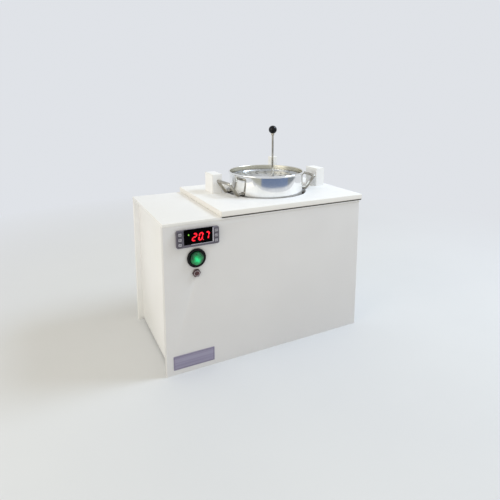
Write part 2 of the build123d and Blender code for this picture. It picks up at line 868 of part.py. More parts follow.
def controller_case():
    half_width = case_width / 2
    half_height = case_height / 2
    shell = block(controller_x - half_width, controller_x + half_width, 0, case_depth,
                  controller_z - half_height, controller_z + half_height)
    return shell - block(controller_x - half_width + case_wall, controller_x + half_width - case_wall,
                         -overrun, case_depth - case_wall,
                         controller_z - half_height + case_wall, controller_z + half_height - case_wall)


def controller_board():
    half_width = case_width / 2 - case_wall
    half_height = case_height / 2 - case_wall
    return block(controller_x - half_width, controller_x + half_width, board_gap, board_gap + board_thickness,
                 controller_z - half_height, controller_z + half_height)


def display_module():
    return window_box(display_margin, window_back_y, board_gap)


def display_window():
    return window_box(window_fit, window_front_y, window_back_y)


def segment(length, upright):
    # A bar with pointed ends, lying in the XZ plane about its middle
    half = length / 2 - digit_gap
    nib = digit_stroke / 2
    points = [(-half, 0), (-half + nib, nib), (half - nib, nib),
              (half, 0), (half - nib, -nib), (-half + nib, -nib)]
    if upright:
        points = [(z, x) for x, z in points]
    return points


def display_digits():
    across = digit_width - digit_stroke
    rise = (digit_height - digit_stroke) / 2
    places = {"a": (0, rise, False), "g": (0, 0, False), "d": (0, -rise, False),
              "f": (-across / 2, rise / 2, True), "b": (across / 2, rise / 2, True),
              "e": (-across / 2, -rise / 2, True), "c": (across / 2, -rise / 2, True)}
    slant = math.tan(math.radians(digit_slant))
    plane = Plane(origin=(0, window_front_y, 0), x_dir=(1, 0, 0), z_dir=(0, -1, 0))
    bars = []
    for place, figure in enumerate(digit_reading):
        middle_x = digits_x + (place - (len(digit_reading) - 1) / 2) * digit_pitch
        for name in figure_segments[figure]:
            x, z, upright = places[name]
            outline = []
            for px, pz in segment(rise if upright else across, upright):
                outline.append((middle_x + x + px + (z + pz) * slant, window_z + z + pz))
            bars.append(extrude(plane * make_face(Polyline(*outline, close=True)), digit_thickness))
        if place == digit_point_after:
            point_x = middle_x + digit_pitch / 2 - digit_height / 2 * slant
            bars.append(rod_along_y(point_x, window_front_y - digit_thickness, window_front_y,
                                    window_z - digit_height / 2 + point_radius, point_radius))
    return Compound(bars)


def status_light():
    return rod_along_y(light_x, window_front_y - light_thickness, window_front_y,
                       window_z + light_z_offset, light_radius)


def controller_clips():
    clips = []
    for side in (-1, 1):
        inner_x = controller_x + side * case_width / 2
        outer_x = inner_x + side * clip_thickness
        clips.append(block(min(inner_x, outer_x), max(inner_x, outer_x),
                           panel_thickness, panel_thickness + clip_depth,
                           controller_z - clip_height / 2, controller_z + clip_height / 2))
    return Compound(clips)


def controller_terminals():
    return block(controller_x - terminal_width / 2, controller_x + terminal_width / 2,
                 case_depth, case_depth + terminal_depth,
                 controller_z - terminal_height / 2, controller_z + terminal_height / 2)


def switch_bezel():
    ring = rod_along_y(switch_x, -switch_ring_proud, 0, switch_z, switch_ring_radius)
    ring = fillet(ring.edges().group_by(Axis.Y)[0], switch_ring_round)
    ring += rod_along_y(switch_x, 0, switch_barrel_length, switch_z, switch_barrel_radius)
    return ring - rod_along_y(switch_x, -switch_ring_proud - overrun, switch_barrel_length + overrun,
                              switch_z, switch_bore_radius)


def switch_nut():
    nut = Rot(-90, 0, 0) * hexagon(switch_nut_radius * 2, switch_nut_depth, switch_nut_flat_count)
    nut = Pos(switch_x, panel_thickness, switch_z) * nut
    back_y = panel_thickness + switch_nut_depth
    return nut - rod_along_y(switch_x, panel_thickness - overrun, back_y + overrun, switch_z,
                             switch_barrel_radius + bore_gap)


def switch_button():
    # A cap with a domed front, and a plunger behind it
    cap_radius = switch_bore_radius - slip_gap
    dome_radius = (cap_radius ** 2 + switch_dome_rise ** 2) / (2 * switch_dome_rise)
    tube = rod_along_y(switch_x, -switch_lens_reach, switch_lens_depth, switch_z, cap_radius)
    dome = Pos(switch_x, -switch_lens_reach + dome_radius, switch_z) * Sphere(dome_radius)
    dome += rod_along_y(switch_x, -switch_lens_proud, switch_lens_depth, switch_z, switch_ring_radius)
    plunger_back_y = switch_barrel_length - switch_travel - slip_gap
    return (tube & dome) + rod_along_y(switch_x, switch_lens_depth - overrun, plunger_back_y, switch_z,
                                       switch_plunger_radius)


def switch_body():
    half = switch_body_size / 2
    back_y = switch_barrel_length + switch_body_depth
    body = rounded_block(switch_x - half, switch_x + half, switch_barrel_length, back_y,
                         switch_z - half, switch_z + half, switch_body_corner, Axis.Y)
    for x_side in (-1, 1):
        for z_side in (-1, 1):
            x = switch_x + x_side * tab_pitch / 2
            z = switch_z + z_side * tab_pitch / 2
            body += block(x - tab_thickness / 2, x + tab_thickness / 2, back_y, back_y + tab_height,
                          z - tab_width / 2, z + tab_width / 2)
    return body


def reset_nut():
    nut = Rot(-90, 0, 0) * hexagon(reset_nut_across, reset_nut_proud)
    nut = Pos(reset_x, -reset_nut_proud, reset_z) * nut
    nut = chamfer(nut.edges().group_by(Axis.Y)[0], reset_nut_chamfer)
    return nut - rod_along_y(reset_x, -reset_nut_proud - overrun, overrun, reset_z,
                             reset_thread_radius + bore_gap)


def reset_bushing():
    back_y = panel_thickness + reset_barrel_back
    body = rod_along_y(reset_x, -reset_thread_proud, back_y, reset_z, reset_thread_radius)
    body += rod_along_y(reset_x, panel_thickness, panel_thickness + reset_flange_depth, reset_z,
                        reset_flange_radius)
    body -= rod_along_y(reset_x, -reset_thread_proud - overrun, back_y + overrun, reset_z, reset_bore_radius)
    return body + block(reset_x - limiter_width / 2, reset_x + limiter_width / 2,
                        back_y, back_y + limiter_depth,
                        reset_z - limiter_height / 2, reset_z + limiter_height / 2)


def reset_button():
    back_y = panel_thickness + reset_barrel_back - reset_travel - slip_gap
    button = rod_along_y(reset_x, -reset_button_proud, back_y, reset_z, reset_bore_radius - slip_gap)
    return fillet(button.edges().group_by(Axis.Y)[0], reset_button_round)


def nameplate():
    return rounded_block(plate_x - plate_width / 2, plate_x + plate_width / 2, -plate_thickness, 0,
                         plate_z - plate_height / 2, plate_z + plate_height / 2, plate_corner, Axis.Y)


def mains_inlet():
    outer_y = cabinet_depth + inlet_flange_depth
    body = rounded_block(inlet_x - inlet_flange_width / 2, inlet_x + inlet_flange_width / 2,
                         cabinet_depth, outer_y,
                         inlet_z - inlet_flange_height / 2, inlet_z + inlet_flange_height / 2,
                         inlet_flange_corner, Axis.Y)
    body += block(inlet_x - inlet_body_width / 2, inlet_x + inlet_body_width / 2,
                  outer_y - inlet_body_depth, cabinet_depth,
                  inlet_z - inlet_body_height / 2, inlet_z + inlet_body_height / 2)
    recess = block(inlet_x - inlet_recess_width / 2, inlet_x + inlet_recess_width / 2,
                   outer_y - inlet_recess_depth, outer_y + overrun,
                   inlet_z - inlet_recess_height / 2, inlet_z + inlet_recess_height / 2)
    recess = chamfer(recess.edges().filter_by(Axis.Y).group_by(Axis.Z)[-1], inlet_recess_chamfer)
    body -= recess
    for x, z in inlet_pin_places():
        body -= inlet_pin(x, z, bore_gap)
    for side in (-1, 1):
        x = inlet_x + side * inlet_screw_pitch / 2
        body -= rod_along_y(x, cabinet_depth - overrun, outer_y + overrun, inlet_z,
                            inlet_screw_radius + screw_gap)
    return body


def inlet_pin_places():
    return [(inlet_x - pin_pitch / 2, inlet_z), (inlet_x + pin_pitch / 2, inlet_z),
            (inlet_x, inlet_z + pin_rise)]


def inlet_pin(x, z, grow):
    floor_y = cabinet_depth + inlet_flange_depth - inlet_recess_depth
    return block(x - pin_width / 2 - grow, x + pin_width / 2 + grow,
                 cabinet_depth + inlet_flange_depth - inlet_body_depth - pin_tail, floor_y + pin_length,
                 z - pin_height / 2 - grow, z + pin_height / 2 + grow)


def inlet_pins():
    return Compound([inlet_pin(x, z, 0) for x, z in inlet_pin_places()])


def inlet_screws():
    screws = []
    head_y = cabinet_depth + inlet_flange_depth + inlet_screw_head_height
    for side in (-1, 1):
        screw = pan_screw(inlet_screw_radius, inlet_screw_head, inlet_screw_head_height, inlet_screw_length)
        screws.append(Pos(inlet_x + side * inlet_screw_pitch / 2, head_y, inlet_z) * Rot(90, 0, 0) * screw)
    return Compound(screws)


def carrier_plate():
    x_low = partition_x - carrier_thickness
    plate = block(x_low, partition_x, carrier_y - carrier_depth / 2, carrier_y + carrier_depth / 2,
                  carrier_z - carrier_height / 2, carrier_z + carrier_height / 2)
    plate -= rod_along_x(x_low - overrun, partition_x + overrun, tank_y, probe_z, wire_hole_radius)
    for y, z in carrier_screw_places():
        plate -= rod_along_x(x_low - overrun, partition_x + overrun, y, z, small_screw_radius + screw_gap)
    return plate


def heater_relay():
    x_high = partition_x - carrier_thickness
    y_low = relay_y - relay_depth / 2
    return rounded_block(x_high - relay_rise, x_high, y_low, y_low + relay_depth,
                         relay_z - relay_height / 2, relay_z + relay_height / 2, relay_round, Axis.X)


def terminal_strip():
    x_high = partition_x - carrier_thickness
    body = block(x_high - strip_rise, x_high, strip_y - strip_depth / 2, strip_y + strip_depth / 2,
                 strip_low_z, strip_low_z + strip_height)
    for pole in range(strip_poles):
        pole_z = strip_low_z + pole * strip_cell
        body -= block(x_high - strip_rise - overrun, x_high - strip_rise + strip_slot_depth,
                      strip_y - strip_depth / 2 + strip_rib, strip_y + strip_depth / 2 - strip_rib,
                      pole_z + strip_rib / 2, pole_z + strip_cell - strip_rib / 2)
    return body


def wire(*points):
    path = FilletPolyline(*points, radius=wire_bend)
    section = Plane(origin=path @ 0, z_dir=path % 0) * Circle(wire_radius)
    return sweep(section, path=path)


def wiring_loom():
    # Five leads, four of them to the floors of the terminal strip's slots
    slot_x = partition_x - carrier_thickness - strip_rise + strip_slot_depth
    near_y = strip_y - wire_spread / 2
    far_y = strip_y + wire_spread / 2
    feed_z = inlet_z + pin_rise
    feed = wire((inlet_x, cabinet_depth + inlet_flange_depth - inlet_body_depth - pin_tail, feed_z),
                (inlet_x, far_y, feed_z), (slot_x, far_y, feed_z))
    tab_x = tank_x - (tab_pitch + tab_thickness) / 2
    heater_pole_z = strip_low_z + (heater_pole + 1 / 2) * strip_cell
    heater = wire((tab_x, tank_y, heater_lead_z), (inlet_x, tank_y, heater_lead_z),
                  (inlet_x, near_y, heater_lead_z), (inlet_x, near_y, heater_pole_z),
                  (slot_x, near_y, heater_pole_z))
    switch_pole_z = strip_low_z + (switch_pole + 1 / 2) * strip_cell
    switch_back_y = switch_barrel_length + switch_body_depth
    switch = wire((switch_x, switch_back_y, switch_z), (switch_x, near_y, switch_z),
                  (switch_x, near_y, switch_pole_z), (slot_x, near_y, switch_pole_z))
    controller_pole_z = strip_low_z + (controller_pole + 1 / 2) * strip_cell
    terminal_back_y = case_depth + terminal_depth
    supply = wire((controller_x, terminal_back_y, controller_z), (controller_x, far_y, controller_z),
                  (controller_x, far_y, controller_pole_z), (slot_x, far_y, controller_pole_z))
    sensor_x = controller_x + terminal_width / 3
    sensor = wire((probe_end_x, tank_y, probe_z), (sensor_x, tank_y, probe_z),
                  (sensor_x, tank_y, controller_z), (sensor_x, terminal_back_y, controller_z))
    return Compound([feed, heater, switch, supply, sensor])


nodes = {
    "front_panel": front_panel(),
    "back_panel": back_panel(),
    "left_side_panel": side_panel(side_inset),
    "right_side_panel": side_panel(side_right_x),
    "top_panel": top_panel(),
    "base_plate": base_plate(),
    "base_cleats": base_cleats(),
    "cabinet_screws": cabinet_screws(),
    "partition_wall": partition_wall(),
    "tank_rails": tank_rails(),
    "tank": tank(),
    "tank_gasket": tank_gasket(),
    "heating_mat": heating_mat(),
    "thermal_cutout": thermal_cutout(),
    "insulation_jacket": insulation_jacket(),
    "temperature_probe": temperature_probe(),
    "probe_gland": probe_gland(),
    "carrier_plate": carrier_plate(),
    "heater_relay": heater_relay(),
    "terminal_strip": terminal_strip(),
    "wiring_loom": wiring_loom(),
    "mains_inlet": mains_inlet(),
    "inlet_pins": inlet_pins(),
    "inlet_screws": inlet_screws(),
    "controller_bezel": controller_bezel(),
    "controller_case": controller_case(),
    "controller_board": controller_board(),
    "controller_clips": controller_clips(),
    "controller_terminals": controller_terminals(),
    "display_module": display_module(),
    "display_window": display_window(),
    "display_digits": display_digits(),
    "status_light": status_light(),
    "switch_bezel": switch_bezel(),
    "switch_nut": switch_nut(),
    "switch_body": switch_body(),
    "switch_button": switch_button(),
    "reset_nut": reset_nut(),
    "reset_bushing": reset_bushing(),
    "reset_button": reset_button(),
    "nameplate": nameplate(),
    "lid_plate": lid_plate(),
    "lid_cleats": lid_cleats(),
    "left_post": post("left"),
    "right_post": post("right"),
    "rear_post": post("rear"),
    "post_screws": post_screws(),
    "pot_shell": pot_shell(),
    "left_handle": pot_handle(-1, left_handle_turn),
    "right_handle": pot_handle(1, right_handle_turn),
    "insert_plate": insert_plate(),
    "lifting_rod": lifting_rod(),
    "rod_nuts": rod_nuts(),
    "ball_knob": ball_knob(),
}
for key_name, key_x, key_z in key_places():
    nodes[key_name] = controller_key(key_x, key_z)

os.makedirs("parts", exist_ok=True)
for node_name, solid in nodes.items():
    export_step(Pos(-origin_x, -origin_y, 0) * solid, f"parts/{node_name}.step")
print(f"{len(nodes)} nodes, origin {origin_x:.2f} {origin_y:.2f}")
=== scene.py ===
import json
import math
import bmesh
import bpy
from mathutils import Matrix, Vector

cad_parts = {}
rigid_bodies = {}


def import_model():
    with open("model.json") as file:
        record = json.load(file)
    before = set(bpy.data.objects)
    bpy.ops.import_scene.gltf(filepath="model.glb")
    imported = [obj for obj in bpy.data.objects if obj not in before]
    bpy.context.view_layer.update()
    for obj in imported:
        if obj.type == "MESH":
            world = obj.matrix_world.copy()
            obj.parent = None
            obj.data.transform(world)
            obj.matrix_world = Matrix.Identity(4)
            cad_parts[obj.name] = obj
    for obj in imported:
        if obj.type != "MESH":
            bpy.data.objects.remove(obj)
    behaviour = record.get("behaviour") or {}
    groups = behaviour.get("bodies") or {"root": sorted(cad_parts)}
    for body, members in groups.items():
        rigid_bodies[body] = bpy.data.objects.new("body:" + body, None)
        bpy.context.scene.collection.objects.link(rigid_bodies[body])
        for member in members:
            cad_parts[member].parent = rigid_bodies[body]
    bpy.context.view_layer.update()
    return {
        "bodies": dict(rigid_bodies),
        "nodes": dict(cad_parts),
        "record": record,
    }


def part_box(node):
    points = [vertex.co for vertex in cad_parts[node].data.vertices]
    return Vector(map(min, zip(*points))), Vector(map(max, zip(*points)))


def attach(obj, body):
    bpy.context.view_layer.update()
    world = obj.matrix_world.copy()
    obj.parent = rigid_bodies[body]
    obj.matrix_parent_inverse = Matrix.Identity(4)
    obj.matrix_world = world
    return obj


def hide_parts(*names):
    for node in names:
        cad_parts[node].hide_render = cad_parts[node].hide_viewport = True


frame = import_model()

kept = set(frame["nodes"].values()) | set(frame["bodies"].values())
for thing in list(bpy.data.objects):
    if thing not in kept:
        bpy.data.objects.remove(thing)
bodyOf = {}
for bodyName, bodyNodes in frame["record"]["behaviour"]["bodies"].items():
    for nodeName in bodyNodes:
        bodyOf[nodeName] = bodyName
slotOf = {part["node"]: part["material_slot"] for part in frame["record"]["subparts"]}


def tint(red, green, blue):
    # a screen colour from 0 to 255, as the shader's linear one
    return tuple((value / 255) ** 2.2 for value in (red, green, blue)) + (1.0,)


# meshes

shaping = {
    "weld": 2e-6, "curveWeld": 1e-6, "flatWithin": 0.4, "sharpPast": 40, "roundProfile": 0.6, "roundSteps": 2,
    "smoothTo": 35, "rodSmoothTo": 50, "bendSteps": 10,
}


def place(piece, body, slot, *replaced):
    bpy.context.scene.collection.objects.link(piece)
    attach(piece, body)
    if replaced:
        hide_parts(*replaced)


def dress(piece, finish):
    piece.data.materials.clear()
    piece.data.materials.append(finish)


def smoothPiece(name, mesh, finish, smoothTo):
    # an object whose shading is sharp only at edges past smoothTo degrees
    mesh.shade_smooth()
    mesh.set_sharp_from_angle(angle=math.radians(smoothTo))
    mesh.materials.clear()
    mesh.materials.append(finish)
    return bpy.data.objects.new(name, mesh)


def meshPiece(name, work, finish, smoothTo=shaping["smoothTo"]):
    bmesh.ops.recalc_face_normals(work, faces=work.faces)
    mesh = bpy.data.meshes.new(name)
    work.to_mesh(mesh)
    work.free()
    return smoothPiece(name, mesh, finish, smoothTo)


def softEdged(node, finish, width=0.0, split=False):
    # the node's own shape with its sharp edges rounded by width
    # split keeps flat faces with openings in them from folding over
    work = bmesh.new()
    work.from_mesh(frame["nodes"][node].data)
    bmesh.ops.remove_doubles(work, verts=work.verts, dist=shaping["weld"])
    bmesh.ops.dissolve_limit(work, angle_limit=math.radians(shaping["flatWithin"]), verts=work.verts,
                             edges=work.edges)
    if split:
        bmesh.ops.triangulate(work, faces=[face for face in work.faces if len(face.verts) > 4])
    if width:
        limit = math.radians(shaping["sharpPast"])
        sharp = [edge for edge in work.edges if len(edge.link_faces) == 2 and edge.calc_face_angle() > limit]
        bmesh.ops.bevel(work, geom=sharp, offset=width, segments=shaping["roundSteps"],
                        profile=shaping["roundProfile"], affect="EDGES", clamp_overlap=True)
    place(meshPiece(node + "_shape", work, finish), bodyOf[node], slotOf[node], node)


def lathe(name, profile, centre, finish, axis="Z", steps=192, smoothTo=shaping["smoothTo"], closed=False):
    # profile is a list of (radius, height), turned round the axis through centre
    work = bmesh.new()
    rings = []
    for radius, height in profile:
        if radius < 1e-7:
            rings.append([work.verts.new((0, 0, height))])
            continue
        ring = []
        for step in range(steps):
            turn = 2 * math.pi * step / steps
            ring.append(work.verts.new((radius * math.cos(turn), radius * math.sin(turn), height)))
        rings.append(ring)
    pairs = list(zip(rings, rings[1:]))
    if closed:
        pairs.append((rings[-1], rings[0]))
    for low, high in pairs:
        for step in range(steps):
            after = (step + 1) % steps
            corners = [low[step % len(low)], low[after % len(low)]]
            corners += [high[after % len(high)], high[step % len(high)]]
            corners = list(dict.fromkeys(corners))
            if len(corners) > 2:
                work.faces.new(corners)
    if axis != "Z":
        quarter = Matrix.Rotation(math.radians(90), 3, "X" if axis == "Y" else "Y")
        bmesh.ops.rotate(work, verts=work.verts, cent=(0, 0, 0), matrix=quarter)
    bmesh.ops.translate(work, verts=work.verts, vec=Vector(centre))
    return meshPiece(name, work, finish, smoothTo)


def arc(radius, height, size, start, end, steps=8):
    # points of a round of that size about (radius, height), angles in degrees from straight out
    points = []
    for step in range(steps + 1):
        turn = math.radians(start + (end - start) * step / steps)
        points.append((radius + size * math.cos(turn), height + size * math.sin(turn)))
    return points


def addLine(curve, spots, closed=False):
    line = curve.splines.new("POLY")
    line.points.add(len(spots) - 1)
    line.use_cyclic_u = closed
    for point, spot in zip(line.points, spots):
        point.co = (*spot, 1)


def curveMesh(curve):
    # the mesh that the curve sweeps or fills
    holder = bpy.data.objects.new(curve.name, curve)
    bpy.context.scene.collection.objects.link(holder)
    bpy.context.view_layer.update()
    mesh = bpy.data.meshes.new_from_object(holder.evaluated_get(bpy.context.evaluated_depsgraph_get()))
    bpy.data.objects.remove(holder)
    return mesh


def bentRod(name, corners, radius, bend, finish, sides):
    # a rod through the corners, each turned by an arc of radius bend
    route = [Vector(corners[0])]
    for before, corner, after in zip(corners, corners[1:], corners[2:]):
        corner = Vector(corner)
        back = (Vector(before) - corner).normalized()
        on = (Vector(after) - corner).normalized()
        half = back.angle(on) / 2
        reach = bend / math.tan(half)
        middle = corner + (back + on).normalized() * bend / math.sin(half)
        first = corner + back * reach - middle
        last = corner + on * reach - middle
        sweep = first.angle(last)
        spin = first.cross(last).normalized()
        for step in range(shaping["bendSteps"] + 1):
            turned = Matrix.Rotation(sweep * step / shaping["bendSteps"], 3, spin) @ first
            route.append(middle + turned)
    route.append(Vector(corners[-1]))
    curve = bpy.data.curves.new(name + "_route", "CURVE")
    curve.dimensions = "3D"
    curve.bevel_depth = radius
    curve.bevel_resolution = sides // 4
    curve.use_fill_caps = True
    addLine(curve, route)
    mesh = curveMesh(curve)
    mesh.name = name
    return smoothPiece(name, mesh, finish, shaping["rodSmoothTo"])


def flatShape(name, loops, low, high, roundness, finish, normal="Z"):
    # a sheet cut to closed loops of points, the first one outside and the rest holes, with rounded edges
    curve = bpy.data.curves.new(name + "_cut", "CURVE")
    curve.dimensions = "2D"
    curve.fill_mode = "BOTH"
    curve.extrude = (high - low) / 2 - roundness
    curve.bevel_depth = roundness
    curve.bevel_resolution = 2
    curve.offset = -roundness
    for loop in loops:
        addLine(curve, [(across, up, 0) for across, up in loop], closed=True)
    mesh = curveMesh(curve)
    middle = (low + high) / 2
    if normal == "Y":
        mesh.transform(Matrix.Translation((0, middle, 0)) @ Matrix.Rotation(math.radians(90), 4, "X"))
    else:
        mesh.transform(Matrix.Translation((0, 0, middle)))
    work = bmesh.new()
    work.from_mesh(mesh)
    bpy.data.meshes.remove(mesh)
    bmesh.ops.remove_doubles(work, verts=work.verts, dist=shaping["curveWeld"])
    return meshPiece(name, work, finish)


def circle(x, y, radius, steps=32):
    turns = [2 * math.pi * step / steps for step in range(steps)]
    return [(x + radius * math.cos(turn), y + radius * math.sin(turn)) for turn in turns]


def rectangle(left, right, low, high, corner=0.0, steps=6):
    if not corner:
        return [(left, low), (right, low), (right, high), (left, high)]
    loop = []
    for x, y, start in ((right - corner, high - corner, 0), (left + corner, high - corner, 90),
                        (left + corner, low + corner, 180), (right - corner, low + corner, 270)):
        loop += arc(x, y, corner, start, start + 90, steps)
    return loop


def centred(x, z, halfX, halfZ, corner=0.0):
    return rectangle(x - halfX, x + halfX, z - halfZ, z + halfZ, corner)


# finishes

surface = {"bevelSamples": 6, "patchDetail": 4, "grainDetail": 2, "grainStrength": 0.6}


def newFinish(name):
    finish = bpy.data.materials.new(name)
    finish.use_nodes = True
    return finish, finish.node_tree, finish.node_tree.nodes["Principled BSDF"]


def partSpace(tree, stretch=(1, 1, 1)):
    where = tree.nodes.new("ShaderNodeTexCoord")
    return spaced(tree, where.outputs["Object"], stretch)


def spaced(tree, vector, stretch):
    spread = tree.nodes.new("ShaderNodeMapping")
    spread.inputs["Scale"].default_value = stretch
    tree.links.new(vector, spread.inputs["Vector"])
    return spread.outputs["Vector"]


def noiseAt(tree, vector, scale, detail):
    noise = tree.nodes.new("ShaderNodeTexNoise")
    noise.inputs["Scale"].default_value = scale
    noise.inputs["Detail"].default_value = detail
    tree.links.new(vector, noise.inputs["Vector"])
    return noise.outputs["Fac"]


def between(tree, value, low, high, fromLow=0.35, fromHigh=0.65):
    spread = tree.nodes.new("ShaderNodeMapRange")
    for key, number in (("From Min", fromLow), ("From Max", fromHigh), ("To Min", low), ("To Max", high)):
        spread.inputs[key].default_value = number
    tree.links.new(value, spread.inputs["Value"])
    return spread.outputs["Result"]


def mathOf(tree, operation, *values, vector=False):
    # one calculation on numbers or on vectors, where each value is a socket or a fixed one
    node = tree.nodes.new("ShaderNodeVectorMath" if vector else "ShaderNodeMath")
    node.operation = operation
    for socket, value in zip(node.inputs, values):
        if isinstance(value, bpy.types.NodeSocket):
            tree.links.new(value, socket)
        else:
            socket.default_value = value
    givesVector = vector and operation not in ("LENGTH", "DISTANCE")
    return node.outputs["Vector" if givesVector else "Value"]


def apart(tree, vector):
    split = tree.nodes.new("ShaderNodeSeparateXYZ")
    tree.links.new(vector, split.inputs[0])
    return split.outputs["X"], split.outputs["Y"], split.outputs["Z"]


def blendColour(tree, value, first, second):
    mix = tree.nodes.new("ShaderNodeMix")
    mix.data_type = "RGBA"
    for socket, colour in (("A", first), ("B", second)):
        target = [s for s in mix.inputs if s.name == socket and s.type == "RGBA"][0]
        if isinstance(colour, tuple):
            target.default_value = colour
        else:
            tree.links.new(colour, target)
    tree.links.new(value, [s for s in mix.inputs if s.name == "Factor" and s.type == "VALUE"][0])
    return [s for s in mix.outputs if s.type == "RGBA"][0]


def darker(colour, share):
    return tuple(value * share for value in colour[:3]) + (1.0,)


def bump(tree, value, depth, shader, strength):
    relief = tree.nodes.new("ShaderNodeBump")
    relief.inputs["Distance"].default_value = depth
    relief.inputs["Strength"].default_value = strength
    tree.links.new(value, relief.inputs["Height"])
    tree.links.new(relief.outputs["Normal"], shader.inputs["Normal"])


def edgeMask(tree, radius, span):
    # 1 along the piece's own edges, 0 on its flats
    soft = tree.nodes.new("ShaderNodeBevel")
    soft.samples = surface["bevelSamples"]
    soft.inputs["Radius"].default_value = radius
    shape = tree.nodes.new("ShaderNodeNewGeometry")
    turn = mathOf(tree, "DISTANCE", soft.outputs["Normal"], shape.outputs["Normal"], vector=True)
    return between(tree, turn, 0, 1, *span)


def grained(name, look):
    # two tones in soft patches, a fine grain and a roughness that follows the grain
    finish, tree, shader = newFinish(name)
    space = partSpace(tree, look.get("stretch", (1, 1, 1)))
    patches = between(tree, noiseAt(tree, space, look["patch"], surface["patchDetail"]), 0, 1)
    tree.links.new(blendColour(tree, patches, look["colour"], look["shade"]), shader.inputs["Base Color"])
    grain = noiseAt(tree, space, look["grain"], surface["grainDetail"])
    tree.links.new(between(tree, grain, *look["rough"]), shader.inputs["Roughness"])
    bump(tree, grain, look["depth"], shader, surface["grainStrength"])
    shader.inputs["Metallic"].default_value = look.get("metal", 0.0)
    shader.inputs["Specular IOR Level"].default_value = look.get("gloss", 0.5)
    shader.inputs["Coat Weight"].default_value = look.get("coat", 0.0)
    shader.inputs["Coat Roughness"].default_value = look.get("coatRough", 0.1)
    return finish


# white enamel of the cabinet and the lid

enamel = {
    "white": tint(244, 244, 245), "cream": tint(240, 240, 239), "edge": tint(244, 243, 238),
    # the front's tones are a greyer copy of the white: painted shade, as the front panel gets less light than
    # the top and sides
    "front": tint(226, 225, 226), "frontPaintedShadePatch": tint(221, 220, 221), "frontPaintedShadeEdge": tint(226, 225, 220),
    "lidWhite": tint(248, 249, 251), "lidCream": tint(245, 246, 247), "lidEdge": tint(228, 226, 212),
    # the lid's side tone and its span are painted shade on the faces that do not point up
    "lidSidePaintedShade": tint(241, 239, 236), "sideShadeSpan": (0.1, 0.7),
    "patch": 5.0, "peel": 420.0, "peelDepth": 0.00006, "peelStrength": 0.35, "wander": 38.0,
    "rough": (0.34, 0.46), "lidRough": (0.5, 0.6), "coat": 0.25, "coatRough": 0.18,
    "edgeReach": 0.0012, "lidEdgeReach": 0.0008, "edgeSpan": (0.02, 0.25), "panelRound": 0.0005,
}


def enamelFinish(name, white, cream, edge, look):
    finish, tree, shader = newFinish(name)
    space = partSpace(tree)
    tone = blendColour(tree, between(tree, noiseAt(tree, space, look["patch"], 3), 0, 1), white, cream)
    # faces that do not point up turn to the side tone: painted shade on the lid's sides
    if "side" in look:
        shape = tree.nodes.new("ShaderNodeNewGeometry")
        upward = apart(tree, shape.outputs["Normal"])[2]
        tone = blendColour(tree, between(tree, upward, 0, 1, *look["sideShadeSpan"]), look["side"], tone)
    # along the piece's edges the colour turns to the edge tone, which on the lid and posts is a darker beige
    edgeToned = blendColour(tree, edgeMask(tree, look["edgeReach"], look["edgeSpan"]), tone, edge)
    tree.links.new(edgeToned, shader.inputs["Base Color"])
    peel = noiseAt(tree, space, look["peel"], 2)
    sheen = between(tree, noiseAt(tree, space, look["wander"], 4), *look["rough"])
    tree.links.new(sheen, shader.inputs["Roughness"])
    bump(tree, peel, look["peelDepth"], shader, look["peelStrength"])
    shader.inputs["Coat Weight"].default_value = look["coat"]
    shader.inputs["Coat Roughness"].default_value = look["coatRough"]
    return finish


lidLook = {**enamel, "edgeReach": enamel["lidEdgeReach"], "rough": enamel["lidRough"], "coat": 0.0}
whiteEnamel = enamelFinish("white_enamel", enamel["white"], enamel["cream"], enamel["edge"], enamel)
# the front panel wears the greyer copy of the white enamel, painted shade
shadedFrontEnamel = enamelFinish("front_enamel_painted_shade", enamel["front"], enamel["frontPaintedShadePatch"], enamel["frontPaintedShadeEdge"], enamel)
postEnamel = enamelFinish("post_enamel", enamel["lidWhite"], enamel["lidCream"], enamel["lidEdge"], lidLook)
lidEnamel = enamelFinish("lid_enamel", enamel["lidWhite"], enamel["lidCream"], enamel["lidEdge"],
                         {**lidLook, "side": enamel["lidSidePaintedShade"]})
softEdged("front_panel", shadedFrontEnamel, enamel["panelRound"])
for node in ("back_panel", "left_side_panel", "right_side_panel", "top_panel", "base_plate"):
    softEdged(node, whiteEnamel, enamel["panelRound"])
for node in ("left_post", "right_post", "rear_post"):
    softEdged(node, postEnamel)
print("cabinet and posts dressed")


# lid plate with its round hole

lid = {
    "corner": 0.0015, "edgeRound": 0.0012, "hole": 0.0825, "holeSteps": 256,
    # the strip's sizes and grey make the painted shade under the lid's front edge
    "shadowStrip": 0.0018, "shadowStripOut": 0.0019, "shadowStripIn": 0.0002, "shadowStripGrey": tint(74, 68, 62),
}
potLow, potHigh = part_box("pot_shell")
potMiddle = (potLow + potHigh) / 2
lidLow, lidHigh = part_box("lid_plate")
lidShape = flatShape("lid_shape", [
    rectangle(lidLow.x, lidHigh.x, lidLow.y, lidHigh.y, lid["corner"]),
    circle(potMiddle.x, potMiddle.y, lid["hole"], lid["holeSteps"])],
    lidLow.z, lidHigh.z, lid["edgeRound"], lidEnamel)
place(lidShape, "lid", slotOf["lid_plate"], "lid_plate")

# a dark strip under the lid's front edge: painted shade, a dark sheet where the lid's overhang casts its
# shadow
shadowStripDark = grained("shadow_strip_dark", {
    "colour": lid["shadowStripGrey"], "shade": tint(60, 55, 50), "patch": 60.0, "grain": 900.0,
    "rough": (0.6, 0.8), "depth": 0.00006})
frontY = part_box("front_panel")[0].y
shadowStripLoop = rectangle(lidLow.x + lid["shadowStripOut"], lidHigh.x - lid["shadowStripOut"],
                     frontY - lid["shadowStripOut"], frontY - lid["shadowStripIn"], lid["shadowStripIn"])
shadowStrip = flatShape("lid_shadow_strip", [shadowStripLoop], lidLow.z - lid["shadowStrip"], lidLow.z, lid["shadowStripIn"], shadowStripDark)
place(shadowStrip, "lid", slotOf["tank_gasket"])
print("lid cut")


# pot of polished steel

